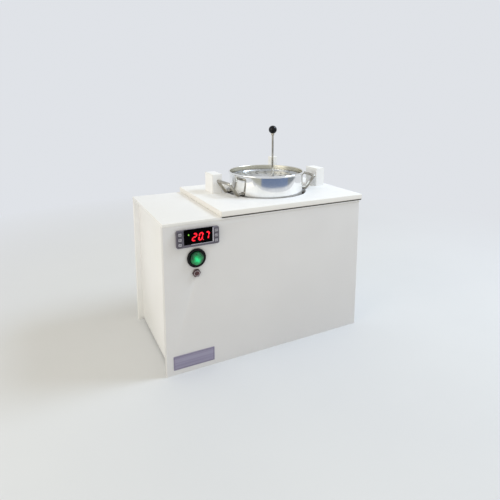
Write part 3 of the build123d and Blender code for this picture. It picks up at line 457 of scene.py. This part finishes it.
pot = {
    "wall": 0.0012, "bead": 0.002, "beadStart": -125, "beadSteps": 24, "floorRound": 0.006, "floorSteps": 12,
    "wallBreak": 0.03, "floorBreak": 0.04, "steps": 288,
    "steel": tint(251, 251, 250), "steelShade": tint(240, 240, 238), "patch": 16.0,
    "streaks": 26.0, "streakLength": 6.0, "streakScale": 10.0, "streakSpan": (0.45, 0.75),
    "streakDepth": 0.00001, "streakStrength": 0.5, "streakShade": 0.2, "rough": (0.035, 0.1),
    # inside the pot the steel takes a darker beige tone, painted shade, and a higher roughness
    "inner": tint(214, 210, 194), "innerRough": 0.3, "innerFrom": 0.2, "outerFrom": 0.8,
}


def turnedSteel(name, look, centre, wallSpan):
    # drawn streaks run up the wall, so the pattern is laid out by angle and height
    finish, tree, shader = newFinish(name)
    space = partSpace(tree)
    fromAxis = mathOf(tree, "SUBTRACT", space, (centre.x, centre.y, 0), vector=True)
    across, deep, up = apart(tree, fromAxis)
    unrolled = tree.nodes.new("ShaderNodeCombineXYZ")
    tree.links.new(mathOf(tree, "ARCTAN2", deep, across), unrolled.inputs["X"])
    tree.links.new(up, unrolled.inputs["Y"])
    drawn = spaced(tree, unrolled.outputs[0], (look["streaks"], look["streakLength"], 1))
    streak = noiseAt(tree, drawn, look["streakScale"], 5)
    patches = between(tree, noiseAt(tree, space, look["patch"], 3), 0, 1)
    tone = blendColour(tree, patches, look["steel"], look["steelShade"])
    tone = blendColour(tree, between(tree, streak, 0, 1, *look["streakSpan"]), tone,
                       darker(look["steel"], 1 - look["streakShade"]))
    level = mathOf(tree, "MULTIPLY", fromAxis, (1, 1, 0), vector=True)
    reach = mathOf(tree, "LENGTH", level, vector=True)
    # inside the wall the steel is rougher, and its colour turns to a darker beige: painted shade for the
    # pot's inside
    within = between(tree, reach, 1, 0, *wallSpan)
    tree.links.new(blendColour(tree, within, tone, look["inner"]), shader.inputs["Base Color"])
    fine = between(tree, streak, *look["rough"])
    softer = mathOf(tree, "MULTIPLY_ADD", within, look["innerRough"] - look["rough"][0], fine)
    tree.links.new(softer, shader.inputs["Roughness"])
    bump(tree, streak, look["streakDepth"], shader, look["streakStrength"])
    shader.inputs["Metallic"].default_value = 1.0
    return finish


innerRadius = (potHigh.x - potLow.x) / 2 - 2 * pot["bead"]
wallRadius = innerRadius + pot["wall"]
potSteel = turnedSteel("pot_steel", pot, potMiddle, (innerRadius + pot["wall"] * pot["innerFrom"],
                                                     innerRadius + pot["wall"] * pot["outerFrom"]))
beadZ = potHigh.z - pot["bead"]
beadRadius = innerRadius + pot["bead"]
roundRadius = wallRadius - pot["floorRound"]
roundZ = potLow.z + pot["floorRound"]
floorZ = potLow.z + pot["wall"]
potProfile = [(0, potLow.z)]
potProfile += arc(roundRadius, roundZ, pot["floorRound"], -90, 0, pot["floorSteps"])
potProfile += [(wallRadius, beadZ - pot["wallBreak"]), (wallRadius, beadZ - pot["bead"])]
potProfile += arc(beadRadius, beadZ, pot["bead"], pot["beadStart"], 180, pot["beadSteps"])
potProfile += [(innerRadius, beadZ - pot["wallBreak"])]
potProfile += arc(roundRadius, roundZ, pot["floorRound"] - pot["wall"], 0, -90, pot["floorSteps"])
potProfile += [(pot["floorBreak"], floorZ), (0, floorZ)]
place(lathe("pot_turned", potProfile, (potMiddle.x, potMiddle.y, 0), potSteel, steps=pot["steps"]),
      "pot", slotOf["pot_shell"], "pot_shell")
print("pot turned")


# two bent rod handles welded to the pot

handle = {
    "leftTurn": 188.0, "rightTurn": -3.0, "rod": 0.003, "rootHalf": 0.022, "barHalf": 0.0225,
    "kneeReach": 0.0847, "barReach": 0.1027, "barAbove": 0.0265, "restAbove": 0.0033, "bend": 0.004,
    "rodSides": 24, "weld": 0.0013, "weldTurn": 330, "weldSteps": 11, "weldSides": 36,
    "steel": tint(190, 186, 176), "steelShade": tint(150, 145, 134),
}
handleSteel = grained("handle_steel", {
    "colour": handle["steel"], "shade": handle["steelShade"], "patch": 60.0, "grain": 900.0,
    "rough": (0.08, 0.18), "depth": 0.00001, "metal": 1.0})
weldSteel = grained("weld_steel", {
    "colour": tint(168, 166, 160), "shade": tint(120, 112, 100), "patch": 400.0, "grain": 1400.0,
    "rough": (0.3, 0.5), "depth": 0.00008, "metal": 1.0})


def potHandle(name, turn):
    restZ = lidHigh.z + handle["restAbove"]
    barZ = lidHigh.z + handle["barAbove"]
    root, knee, bar = handle["rootHalf"], handle["kneeReach"], handle["barReach"]
    start = math.sqrt(wallRadius ** 2 - root ** 2) - pot["wall"] / 2
    corners = [(start, -root, restZ), (knee, -root, restZ), (bar, -handle["barHalf"], barZ),
               (bar, handle["barHalf"], barZ), (knee, root, restZ), (start, root, restZ)]
    rod = bentRod(name + "_rod", corners, handle["rod"], handle["bend"], handleSteel, handle["rodSides"])
    put = Matrix.Translation((potMiddle.x, potMiddle.y, 0)) @ Matrix.Rotation(math.radians(turn), 4, "Z")
    rod.data.transform(put)
    place(rod, "pot", slotOf[name], name)
    beadMiddle = handle["rod"] + handle["weld"] / 3
    bead = arc(beadMiddle, 0, handle["weld"], 0, handle["weldTurn"], handle["weldSteps"])
    for side, end in (("front", -1), ("back", 1)):
        foot = (start + handle["weld"], end * root, restZ)
        weld = lathe(f"{name}_weld_{side}", bead, foot, weldSteel, axis="X", steps=handle["weldSides"],
                     closed=True)
        weld.data.transform(put)
        place(weld, "pot", slotOf[name])


potHandle("left_handle", handle["leftTurn"])
potHandle("right_handle", handle["rightTurn"])
print("handles bent")


# insert with its rod and ball

insert = {
    "plate": tint(205, 206, 206), "plateShade": tint(176, 177, 176), "rod": tint(196, 192, 180),
    "ball": tint(16, 16, 18), "ballSides": 72, "ballSteps": 40, "nutRound": 0.0003,
    "rodSides": 40, "tipCut": 0.3, "rodInBall": 0.001,
    "threadStart": 0.001, "threadLength": 0.022, "threadEnd": 0.002, "threadTurns": 28, "threadDepth": 0.12,
    "collarRadius": 0.0033, "collarHeight": 0.004, "collarFoot": 0.85, "collarShoulder": 0.8,
    "collarSides": 48, "collarSmoothTo": 25,
}
insertSteel = grained("insert_steel", {
    "colour": insert["plate"], "shade": insert["plateShade"], "patch": 30.0, "grain": 700.0,
    "rough": (0.2, 0.38), "depth": 0.00003, "metal": 1.0, "stretch": (1, 0.08, 1)})
rodSteel = grained("rod_steel", {
    "colour": insert["rod"], "shade": tint(172, 160, 140), "patch": 80.0, "grain": 600.0,
    "rough": (0.12, 0.28), "depth": 0.00001, "metal": 1.0, "stretch": (1, 1, 0.1)})
ballBlack = grained("ball_black", {
    "colour": insert["ball"], "shade": tint(22, 22, 24), "patch": 90.0, "grain": 500.0,
    "rough": (0.06, 0.12), "depth": 0.000004, "gloss": 0.25})
softEdged("insert_plate", insertSteel)
softEdged("rod_nuts", insertSteel, insert["nutRound"])

rodLow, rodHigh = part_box("lifting_rod")
rodMiddle = (rodLow + rodHigh) / 2
rodRadius = (rodHigh.x - rodLow.x) / 2
tip = rodRadius * insert["tipCut"]
rodProfile = [(0, rodLow.z), (rodRadius - tip, rodLow.z), (rodRadius, rodLow.z + tip)]
flanks = insert["threadTurns"] * 2
for flank in range(flanks):
    depth = insert["threadDepth"] * rodRadius if flank % 2 else 0.0
    up = insert["threadStart"] + insert["threadLength"] * (flank + 1) / flanks
    rodProfile.append((rodRadius - depth, rodLow.z + up))
rodTop = rodHigh.z - insert["rodInBall"]
threadTop = rodLow.z + insert["threadLength"] + insert["threadEnd"]
rodProfile += [(rodRadius, threadTop), (rodRadius, rodTop), (0, rodTop)]
rod = lathe("rod_turned", rodProfile, (rodMiddle.x, rodMiddle.y, 0), rodSteel, steps=insert["rodSides"],
            smoothTo=shaping["rodSmoothTo"])
place(rod, "insert", slotOf["lifting_rod"], "lifting_rod")

# the ball is cut flat underneath, where it stands on its collar
ballLow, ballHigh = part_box("ball_knob")
ballMiddle = (ballLow + ballHigh) / 2
ballRadius = (ballHigh.z - ballLow.z) / 2
ballMiddle.z = ballHigh.z - ballRadius
flatAngle = math.degrees(math.acos(insert["collarRadius"] / ballRadius))
flatDrop = ballRadius * math.sin(math.radians(flatAngle))
ballProfile = [(0, -flatDrop)] + arc(0, 0, ballRadius, -flatAngle, 90, insert["ballSteps"])
ballProfile[-1] = (0, ballRadius)
ball = lathe("ball_turned", ballProfile, ballMiddle, ballBlack, steps=insert["ballSides"])
place(ball, "insert", slotOf["ball_knob"], "ball_knob")
collarTop = ballMiddle.z - flatDrop
collarLow = collarTop - insert["collarHeight"]
collarProfile = [
    (rodRadius, collarLow), (insert["collarRadius"] * insert["collarFoot"], collarLow),
    (insert["collarRadius"], collarTop - insert["collarHeight"] * insert["collarShoulder"]),
    (insert["collarRadius"], collarTop), (rodRadius, collarTop)]
collar = lathe("ball_collar", collarProfile, (ballMiddle.x, ballMiddle.y, 0), rodSteel,
               steps=insert["collarSides"], smoothTo=insert["collarSmoothTo"])
place(collar, "insert", slotOf["rod_nuts"])
print("insert, rod and ball made")


# controller in the front panel

controller = {
    "grey": tint(104, 100, 112), "greyShade": tint(92, 88, 100), "window": tint(7, 7, 9),
    "red": tint(250, 12, 40), "redGlow": 1.0, "lamp": tint(130, 205, 70), "lampGlow": 0.8, "unlit": 0.75,
    "litPatch": 260.0, "litRough": (0.25, 0.4),
    "bezelRound": 0.0002, "windowRound": 0.00025, "bar": tint(226, 224, 236), "barWide": 0.0013,
    "strip": 0.0005, "stripStart": 0.012, "head": 0.0021, "barCorner": 0.0002, "barProud": 0.0001,
    "barSunk": 0.0004, "barRound": 0.00005,
}
bezelGrey = grained("bezel_grey", {
    "colour": controller["grey"], "shade": controller["greyShade"], "patch": 40.0, "grain": 1800.0,
    "rough": (0.38, 0.55), "depth": 0.00004})
windowBlack = grained("window_black", {
    "colour": controller["window"], "shade": tint(10, 8, 9), "patch": 50.0, "grain": 90.0,
    "rough": (0.3, 0.45), "depth": 0.000006, "gloss": 0.03})
barLight = grained("bar_light", {
    "colour": controller["bar"], "shade": tint(206, 203, 216), "patch": 120.0, "grain": 1500.0,
    "rough": (0.35, 0.5), "depth": 0.00001})


def litFinish(name, colour, glow):
    # lit from behind, a little uneven as a lamp behind a diffuser is
    finish, tree, shader = newFinish(name)
    uneven = between(tree, noiseAt(tree, partSpace(tree), controller["litPatch"], 2), 0, 1)
    tone = blendColour(tree, uneven, colour, darker(colour, controller["unlit"]))
    tree.links.new(tone, shader.inputs["Base Color"])
    tree.links.new(tone, shader.inputs["Emission Color"])
    shader.inputs["Emission Strength"].default_value = glow
    tree.links.new(between(tree, uneven, *controller["litRough"], 0, 1), shader.inputs["Roughness"])
    return finish


softEdged("controller_bezel", bezelGrey, controller["bezelRound"], split=True)
softEdged("display_window", windowBlack, controller["windowRound"])
dress(frame["nodes"]["display_digits"], litFinish("lit_red", controller["red"], controller["redGlow"]))
dress(frame["nodes"]["status_light"], litFinish("lit_green", controller["lamp"], controller["lampGlow"]))

# light bars at the window's right and foot, and the dark strip above it
windowLow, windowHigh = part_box("display_window")
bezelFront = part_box("controller_bezel")[0].y
barRight = windowHigh.x + controller["barWide"]
stripLeft = windowLow.x + controller["stripStart"]
stripLow = windowLow.z - controller["strip"]
headHigh = windowHigh.z + controller["head"]
for barName, finish, left, right, low, high in (
        ("window_bar", barLight, windowHigh.x, barRight, windowLow.z, windowHigh.z),
        ("window_strip", barLight, stripLeft, windowHigh.x, stripLow, windowLow.z),
        ("window_head", windowBlack, windowLow.x, windowHigh.x, windowHigh.z, headHigh)):
    barLoop = rectangle(left, right, low, high, controller["barCorner"])
    bar = flatShape(barName, [barLoop], bezelFront - controller["barProud"],
                    bezelFront + controller["barSunk"], controller["barRound"], finish, "Y")
    place(bar, "cabinet", slotOf["controller_bezel"])
print("controller dressed")


# keys, each with a frame and a plain sign

sign = {
    "light": tint(206, 204, 214), "lightShade": tint(170, 168, 176), "grey": tint(98, 94, 106),
    "greyShade": tint(84, 80, 92), "keyRound": 0.0002, "line": 0.0007, "flange": 0.0007, "inset": 1.4,
    "outerCorner": 0.0009, "innerCorner": 0.0006, "rise": 0.00012, "sunk": 0.00005, "round": 0.00002,
    "arrow": 0.0013, "arrowFoot": 0.7, "arrowTop": 0.8, "ring": (0.0014, 0.001), "square": (0.0012, 0.0008),
    "barHalf": (0.0013, 0.0002), "barSteps": (-0.0009, 0, 0.0009), "dot": 0.0009,
}
keyGrey = grained("key_grey", {
    "colour": sign["grey"], "shade": sign["greyShade"], "patch": 60.0, "grain": 2200.0,
    "rough": (0.42, 0.6), "depth": 0.00003})
markLight = grained("mark_light", {
    "colour": sign["light"], "shade": sign["lightShade"], "patch": 200.0, "grain": 1500.0,
    "rough": (0.4, 0.6), "depth": 0.00001})


def keySign(kind, x, z):
    if kind in ("up", "down"):
        way = sign["arrow"] if kind == "up" else -sign["arrow"]
        foot = z - way * sign["arrowFoot"]
        return [[[(x - sign["arrow"], foot), (x + sign["arrow"], foot), (x, z + way * sign["arrowTop"])]]]
    if kind == "ring":
        return [[circle(x, z, radius) for radius in sign["ring"]]]
    if kind == "square":
        return [[centred(x, z, half, half) for half in sign["square"]]]
    if kind == "bars":
        return [[centred(x, z + shift, *sign["barHalf"])] for shift in sign["barSteps"]]
    return [[circle(x, z, sign["dot"])]]


def keyMarks(key, kind):
    low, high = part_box(key)
    middle = (low + high) / 2
    halfX = (high.x - low.x) / 2 - sign["flange"] - sign["line"] * sign["inset"]
    halfZ = (high.z - low.z) / 2 - sign["flange"] - sign["line"] * sign["inset"]
    border = [centred(middle.x, middle.z, halfX, halfZ, sign["outerCorner"]),
              centred(middle.x, middle.z, halfX - sign["line"], halfZ - sign["line"], sign["innerCorner"])]
    for number, loops in enumerate([border] + keySign(kind, middle.x, middle.z)):
        mark = flatShape(f"{key}_mark_{number + 1}", loops, low.y - sign["rise"], low.y + sign["sunk"],
                         sign["round"], markLight, "Y")
        place(mark, bodyOf[key], slotOf[key])


for key, kind in (("left_key_1", "square"), ("left_key_2", "bars"), ("left_key_3", "ring"),
                  ("right_key_1", "up"), ("right_key_2", "dot"), ("right_key_3", "down")):
    softEdged(key, keyGrey, sign["keyRound"])
    keyMarks(key, kind)
print("keys marked")


# round push switch with its green lens

switch = {
    "ringProud": 0.0035, "ringRound": 0.0016, "gap": 0.0003, "boreRound": 0.0008, "boreDrop": 0.0014,
    "barrel": 0.013, "barrelDepth": 0.03, "ringSides": 128, "lensSides": 96, "lensSmoothTo": 60,
    "black": tint(12, 12, 13), "centre": tint(6, 228, 138), "middle": tint(0, 150, 82),
    # deep is the green of the painted shade in the lens's ridged rings
    "rim": tint(0, 70, 40), "deep": tint(0, 30, 18), "stops": (0.05, 0.5, 0.95), "glow": 0.42,
    "cloud": 190.0, "cloudWander": 0.18, "ringShade": 0.9, "shadeSpan": (-0.2, 1.0), "shadeFrom": 0.35,
    "shadeFull": 0.7, "ridges": 5, "ridge": 0.00025, "plainCore": 0.3, "spotX": 0.0002, "spotZ": -0.0018,
    "coat": 0.3, "coatRough": 0.04, "rough": (0.08, 0.2), "domeRise": 0.002, "domeSteps": 60, "skirt": 0.002,
}
ringLow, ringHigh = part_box("switch_bezel")
ringMiddle = (ringLow + ringHigh) / 2
ringRadius = (ringHigh.x - ringLow.x) / 2
buttonLow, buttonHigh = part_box("switch_button")
lensRadius = (buttonHigh.x - buttonLow.x) / 2
boreRadius = lensRadius + switch["gap"]
ringBlack = grained("ring_black", {
    "colour": switch["black"], "shade": tint(18, 17, 18), "patch": 70.0, "grain": 300.0,
    "rough": (0.08, 0.18), "depth": 0.000006, "gloss": 0.2})
boreZ = switch["ringProud"] - switch["boreDrop"]
ringRound = switch["ringRound"]
ringProfile = [(boreRadius, -switch["barrelDepth"]), (boreRadius, boreZ)]
ringProfile += arc(boreRadius + switch["boreRound"], boreZ, switch["boreRound"], 180, 100, 6)
ringProfile += arc(ringRadius - ringRound, switch["ringProud"] - ringRound, ringRound, 90, 0, 10)
ringProfile += [(ringRadius, 0), (switch["barrel"], 0), (switch["barrel"], -switch["barrelDepth"])]
ring = lathe("switch_ring", ringProfile, (ringMiddle.x, frontY, ringMiddle.z), ringBlack, axis="Y",
             steps=switch["ringSides"], closed=True)
place(ring, "cabinet", slotOf["switch_bezel"], "switch_bezel")


def lensFinish(name, look, centre, radius):
    # brightest at a spot before the lamp, with rings of painted shade where the lens is ridged
    finish, tree, shader = newFinish(name)
    space = partSpace(tree)
    level = mathOf(tree, "MULTIPLY", space, (1, 0, 1), vector=True)
    spot = (centre.x + look["spotX"], 0, centre.z + look["spotZ"])
    reach = mathOf(tree, "DISTANCE", level, spot, vector=True)
    ramp = tree.nodes.new("ShaderNodeValToRGB")
    ramp.color_ramp.elements[0].color = look["centre"]
    ramp.color_ramp.elements[0].position = look["stops"][0]
    ramp.color_ramp.elements[1].color = look["rim"]
    ramp.color_ramp.elements[1].position = look["stops"][2]
    ramp.color_ramp.elements.new(look["stops"][1]).color = look["middle"]
    cloud = noiseAt(tree, space, look["cloud"], 3)
    drift = between(tree, cloud, -look["cloudWander"], look["cloudWander"])
    tree.links.new(mathOf(tree, "MULTIPLY_ADD", reach, 1 / radius, drift), ramp.inputs["Fac"])
    wave = mathOf(tree, "SINE", mathOf(tree, "MULTIPLY", reach, 2 * math.pi * look["ridges"] / radius))
    shadow = between(tree, wave, 0.0, look["ringShade"], *look["shadeSpan"])
    outward = between(tree, reach, 0, 1, radius * look["shadeFrom"], radius * look["shadeFull"])
    # the rings darken towards the deep green: painted shade
    tone = blendColour(tree, mathOf(tree, "MULTIPLY", shadow, outward), ramp.outputs["Color"], look["deep"])
    tree.links.new(tone, shader.inputs["Base Color"])
    tree.links.new(tone, shader.inputs["Emission Color"])
    shader.inputs["Emission Strength"].default_value = look["glow"]
    tree.links.new(between(tree, cloud, *look["rough"]), shader.inputs["Roughness"])
    shader.inputs["Coat Weight"].default_value = look["coat"]
    shader.inputs["Coat Roughness"].default_value = look["coatRough"]
    return finish


lensBack = frontY - buttonHigh.y
lensFront = frontY - buttonLow.y
lensProfile = [(0, lensBack), (lensRadius, lensBack), (lensRadius, lensFront - switch["skirt"])]
for step in range(switch["domeSteps"]):
    share = 1 - (step + 1) / switch["domeSteps"]
    height = lensFront - switch["domeRise"] * share ** 2
    if share > switch["plainCore"]:
        height -= switch["ridge"] * abs(math.sin(math.pi * switch["ridges"] * share))
    lensProfile.append((lensRadius * share, height))
lensGreen = lensFinish("lens_green", switch, ringMiddle, lensRadius)
lens = lathe("switch_lens", lensProfile, (ringMiddle.x, frontY, ringMiddle.z), lensGreen, axis="Y",
             steps=switch["lensSides"], smoothTo=switch["lensSmoothTo"])
place(lens, "power_switch", slotOf["switch_button"], "switch_button")
print("switch turned")


# limiter's reset and the nameplate

small = {
    "nut": tint(100, 84, 84), "nutShade": tint(70, 54, 56), "button": tint(84, 10, 18),
    "buttonShade": tint(62, 8, 14), "bushing": tint(214, 202, 202), "bushingShade": tint(150, 132, 132),
    "plate": tint(166, 160, 180), "plateShade": tint(150, 144, 166), "edgeRound": 0.0002,
    "border": 0.0003, "borderInset": 0.0016, "borderCorner": (0.0008, 0.0006), "borderProud": 0.00006,
    "borderSunk": 0.0001, "borderRound": 0.00002,
}
nutSteel = grained("nut_steel", {
    "colour": small["nut"], "shade": small["nutShade"], "patch": 120.0, "grain": 900.0,
    "rough": (0.16, 0.34), "depth": 0.00002, "metal": 1.0})
resetRed = grained("reset_red", {
    "colour": small["button"], "shade": small["buttonShade"], "patch": 200.0, "grain": 900.0,
    "rough": (0.18, 0.34), "depth": 0.00001, "coat": 0.5})
bushingSteel = grained("bushing_steel", {
    "colour": small["bushing"], "shade": small["bushingShade"], "patch": 300.0, "grain": 1200.0,
    "rough": (0.1, 0.2), "depth": 0.00001, "metal": 1.0})
plateSilver = grained("plate_silver", {
    "colour": small["plate"], "shade": small["plateShade"], "patch": 300.0, "grain": 2600.0,
    "rough": (0.28, 0.42), "depth": 0.00001, "metal": 0.75, "stretch": (0.02, 1, 1)})
softEdged("reset_nut", nutSteel, small["edgeRound"])
softEdged("reset_bushing", bushingSteel, small["edgeRound"])
softEdged("reset_button", resetRed)
softEdged("nameplate", plateSilver, small["edgeRound"])
plateLow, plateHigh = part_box("nameplate")
insets = (small["borderInset"], small["borderInset"] + small["border"])
borderLoops = []
for inset, corner in zip(insets, small["borderCorner"]):
    borderLoops.append(rectangle(plateLow.x + inset, plateHigh.x - inset,
                                 plateLow.z + inset, plateHigh.z - inset, corner))
border = flatShape("nameplate_border", borderLoops, plateLow.y - small["borderProud"],
                   plateLow.y + small["borderSunk"], small["borderRound"], nutSteel, "Y")
place(border, "cabinet", slotOf["nameplate"])
print("reset and nameplate dressed")


# what is behind and inside, by the material that each node is made of

inside = {
    "painted_inner": {
        "colour": tint(226, 225, 220), "shade": tint(216, 214, 206), "patch": 7.0, "grain": 420.0,
        "rough": (0.4, 0.55), "depth": 0.00005},
    "timber": {
        "colour": tint(206, 178, 132), "shade": tint(176, 142, 96), "patch": 22.0, "grain": 260.0,
        "rough": (0.6, 0.8), "depth": 0.0002, "stretch": (0.12, 1, 1)},
    "screw_steel": {
        "colour": tint(190, 188, 184), "shade": tint(160, 158, 154), "patch": 200.0, "grain": 900.0,
        "rough": (0.25, 0.4), "depth": 0.00002, "metal": 1.0},
    "tank_steel": {
        "colour": tint(200, 202, 204), "shade": tint(178, 180, 184), "patch": 14.0, "grain": 900.0,
        "rough": (0.22, 0.4), "depth": 0.00002, "metal": 1.0, "stretch": (0.04, 0.04, 1)},
    "gasket_rubber": {
        "colour": tint(40, 40, 40), "shade": tint(52, 51, 50), "patch": 60.0, "grain": 900.0,
        "rough": (0.6, 0.8), "depth": 0.00006},
    "heater_silicone": {
        "colour": tint(186, 74, 48), "shade": tint(166, 60, 40), "patch": 50.0, "grain": 1100.0,
        "rough": (0.5, 0.7), "depth": 0.0001},
    "foam": {
        "colour": tint(222, 216, 200), "shade": tint(200, 190, 168), "patch": 60.0, "grain": 380.0,
        "rough": (0.85, 0.98), "depth": 0.0006},
    "phenolic": {
        "colour": tint(46, 40, 38), "shade": tint(34, 30, 28), "patch": 60.0, "grain": 900.0,
        "rough": (0.35, 0.5), "depth": 0.00004},
    "strip_plastic": {
        "colour": tint(226, 220, 200), "shade": tint(214, 206, 184), "patch": 50.0, "grain": 900.0,
        "rough": (0.4, 0.55), "depth": 0.00004},
    "wire_insulation": {
        "colour": tint(146, 92, 56), "shade": tint(120, 74, 44), "patch": 80.0, "grain": 700.0,
        "rough": (0.4, 0.55), "depth": 0.00003},
    "black_plastic": {
        "colour": tint(30, 30, 32), "shade": tint(40, 39, 40), "patch": 50.0, "grain": 1500.0,
        "rough": (0.4, 0.6), "depth": 0.00005},
    "pin_brass": {
        "colour": tint(216, 204, 170), "shade": tint(196, 182, 144), "patch": 200.0, "grain": 900.0,
        "rough": (0.2, 0.35), "depth": 0.00001, "metal": 1.0},
    "circuit_board": {
        "colour": tint(26, 104, 62), "shade": tint(18, 84, 50), "patch": 260.0, "grain": 900.0,
        "rough": (0.35, 0.5), "depth": 0.00006},
    "display_black": {
        "colour": tint(22, 22, 24), "shade": tint(30, 30, 32), "patch": 60.0, "grain": 900.0,
        "rough": (0.4, 0.6), "depth": 0.00004},
}
insideRound = 0.0003
for slotName, look in inside.items():
    finish = grained(slotName, look)
    for node, part in frame["nodes"].items():
        if slotOf[node] == slotName and not part.hide_render:
            dress(part, finish)
for node in ("mains_inlet", "tank"):
    softEdged(node, frame["nodes"][node].data.materials[0], insideRound)
print("back and inside dressed")


# room, lamps and camera

view = {"place": (-0.3697, -0.757, 0.4617), "yaw": 26.59, "pitch": 9.38, "lens": 30.795, "shift": -0.16}
room = {
    "floor": tint(222, 224, 227), "floorShade": tint(217, 219, 223), "floorSize": 14.0, "fade": (0.45, 1.3),
    "air": tint(223, 226, 231), "airLight": tint(217, 213, 201), "aim": (0, 0, 0.2),
    "keyPlace": (1.38, -0.44, 1.72), "keySize": 0.9, "keyPower": 22.8, "keyColour": (0.7, 0.83, 1.0),
    "fillPlace": (-2.0, -0.4, 0.9), "fillSize": 1.6, "fillPower": 12.5, "fillColour": (1.0, 0.94, 0.83),
    "screenReach": 0.62, "screenTop": 0.30, "screenLow": 0.180, "screenCurl": 0.000010, "screenFlat": 16.0,
    "screenLeast": 0.01, "screenSteps": 120, "screenLeft": tint(172, 172, 162),
    "screenDark": tint(114, 130, 160), "screenRight": tint(126, 132, 138), "screenSpan": (-66.0, 136.0),
    "screenCore": (-12.0, 62.0), "screenSoft": 6.0, "screenFadeLeft": 14.0, "screenFadeRight": 12.0,
}


def seenDirectly(tree):
    # 1 for what the camera, a mirror or glass sees
    rays = tree.nodes.new("ShaderNodeLightPath")
    answer = rays.outputs["Is Camera Ray"]
    for kind in ("Is Glossy Ray", "Is Transmission Ray"):
        answer = mathOf(tree, "MAXIMUM", answer, rays.outputs[kind])
    return answer


def paleFloor():
    # far from the part the floor turns into the plain air behind it
    work = bmesh.new()
    bmesh.ops.create_grid(work, x_segments=4, y_segments=4, size=room["floorSize"] / 2)
    finish = grained("floor_pale", {
        "colour": room["floor"], "shade": room["floorShade"], "patch": 1.5, "grain": 300.0,
        "rough": (0.7, 0.8), "depth": 0.00005})
    tree = finish.node_tree
    shape = tree.nodes.new("ShaderNodeNewGeometry")
    away = mathOf(tree, "LENGTH", shape.outputs["Position"], vector=True)
    faded = between(tree, away, 0, 1, *room["fade"])
    glow = tree.nodes.new("ShaderNodeEmission")
    glow.inputs["Color"].default_value = room["air"]
    mixed = tree.nodes.new("ShaderNodeMixShader")
    tree.links.new(mathOf(tree, "MULTIPLY", faded, seenDirectly(tree)), mixed.inputs["Fac"])
    tree.links.new(tree.nodes["Principled BSDF"].outputs[0], mixed.inputs[1])
    tree.links.new(glow.outputs[0], mixed.inputs[2])
    tree.links.new(mixed.outputs[0], tree.nodes["Material Output"].inputs["Surface"])
    floor = meshPiece("floor", work, finish)
    if floor.data.polygons[0].normal.z < 0:
        floor.data.flip_normals()
    bpy.context.scene.collection.objects.link(floor)


def paleAir():
    world = bpy.data.worlds.new("studio")
    bpy.context.scene.world = world
    world.use_nodes = True
    tree = world.node_tree
    background = tree.nodes["Background"]
    colour = blendColour(tree, seenDirectly(tree), room["airLight"], room["air"])
    tree.links.new(colour, background.inputs["Color"])
    background.inputs["Strength"].default_value = 1.0


def softLamp(name, spot, size, power, colour):
    lamp = bpy.data.lights.new(name, "AREA")
    lamp.shape = "DISK"
    lamp.size = size
    lamp.energy = power
    lamp.color = colour
    holder = bpy.data.objects.new(name, lamp)
    holder.location = spot
    holder.rotation_euler = (Vector(room["aim"]) - Vector(spot)).to_track_quat("-Z", "Y").to_euler()
    bpy.context.scene.collection.objects.link(holder)


def dimScreen():
    # a dim screen round the front that only mirrors see gives the steel something dark to show
    start, end = room["screenSpan"]
    coreStart, coreEnd = room["screenCore"]
    coreMiddle = (coreStart + coreEnd) / 2
    top = room["screenTop"]
    work = bmesh.new()
    edges = []
    for step in range(room["screenSteps"] + 1):
        turn = start + (end - start) * step / room["screenSteps"]
        away = max(0.0, abs(turn - coreMiddle) - room["screenFlat"])
        low = min(room["screenLow"] + room["screenCurl"] * away ** 2, top - room["screenLeast"])
        facing = math.radians(turn - view["yaw"])
        across = potMiddle.x + room["screenReach"] * math.sin(facing)
        deep = potMiddle.y - room["screenReach"] * math.cos(facing)
        edges.append((work.verts.new((across, deep, low)), work.verts.new((across, deep, top))))
    for first, second in zip(edges, edges[1:]):
        work.faces.new((first[0], second[0], second[1], first[1]))
    finish, tree, shader = newFinish("screen_dim")
    fromPot = mathOf(tree, "SUBTRACT", partSpace(tree), (potMiddle.x, potMiddle.y, 0), vector=True)
    sideways, backward = apart(tree, fromPot)[:2]
    angle = mathOf(tree, "ARCTAN2", sideways, mathOf(tree, "MULTIPLY", backward, -1.0))
    ramp = tree.nodes.new("ShaderNodeValToRGB")
    tree.links.new(between(tree, angle, 0, 1, math.radians(start - view["yaw"]),
                           math.radians(end - view["yaw"])), ramp.inputs["Fac"])
    for element, position in zip(ramp.color_ramp.elements, (0.0, 1.0)):
        element.color = room["air"]
        element.position = position
    for turn, colour in (
            (start + room["screenFadeLeft"], room["screenLeft"]),
            (coreStart - room["screenSoft"], room["screenLeft"]),
            (coreStart, room["screenDark"]),
            (coreEnd, room["screenDark"]),
            (coreEnd + room["screenSoft"], room["screenRight"]),
            (end - room["screenFadeRight"], room["screenRight"])):
        ramp.color_ramp.elements.new((turn - start) / (end - start)).color = colour
    tree.links.new(ramp.outputs["Color"], shader.inputs["Emission Color"])
    shader.inputs["Emission Strength"].default_value = 1.0
    shader.inputs["Base Color"].default_value = (0, 0, 0, 1)
    shader.inputs["Specular IOR Level"].default_value = 0.0
    screen = meshPiece("dim_screen", work, finish)
    screen.visible_camera = False
    screen.visible_diffuse = False
    screen.visible_shadow = False
    screen.visible_transmission = False
    bpy.context.scene.collection.objects.link(screen)


paleFloor()
paleAir()
softLamp("key_lamp", room["keyPlace"], room["keySize"], room["keyPower"], room["keyColour"])
softLamp("fill_lamp", room["fillPlace"], room["fillSize"], room["fillPower"], room["fillColour"])
dimScreen()

cameraData = bpy.data.cameras.new("camera")
cameraData.sensor_width = 36.0
cameraData.lens = view["lens"]
cameraData.shift_y = view["shift"]
camera = bpy.data.objects.new("camera", cameraData)
camera.location = view["place"]
camera.rotation_euler = (math.radians(90 - view["pitch"]), 0, math.radians(-view["yaw"]))
bpy.context.scene.collection.objects.link(camera)
bpy.context.scene.camera = camera
bpy.context.scene.view_settings.view_transform = "Standard"
print("room lit")
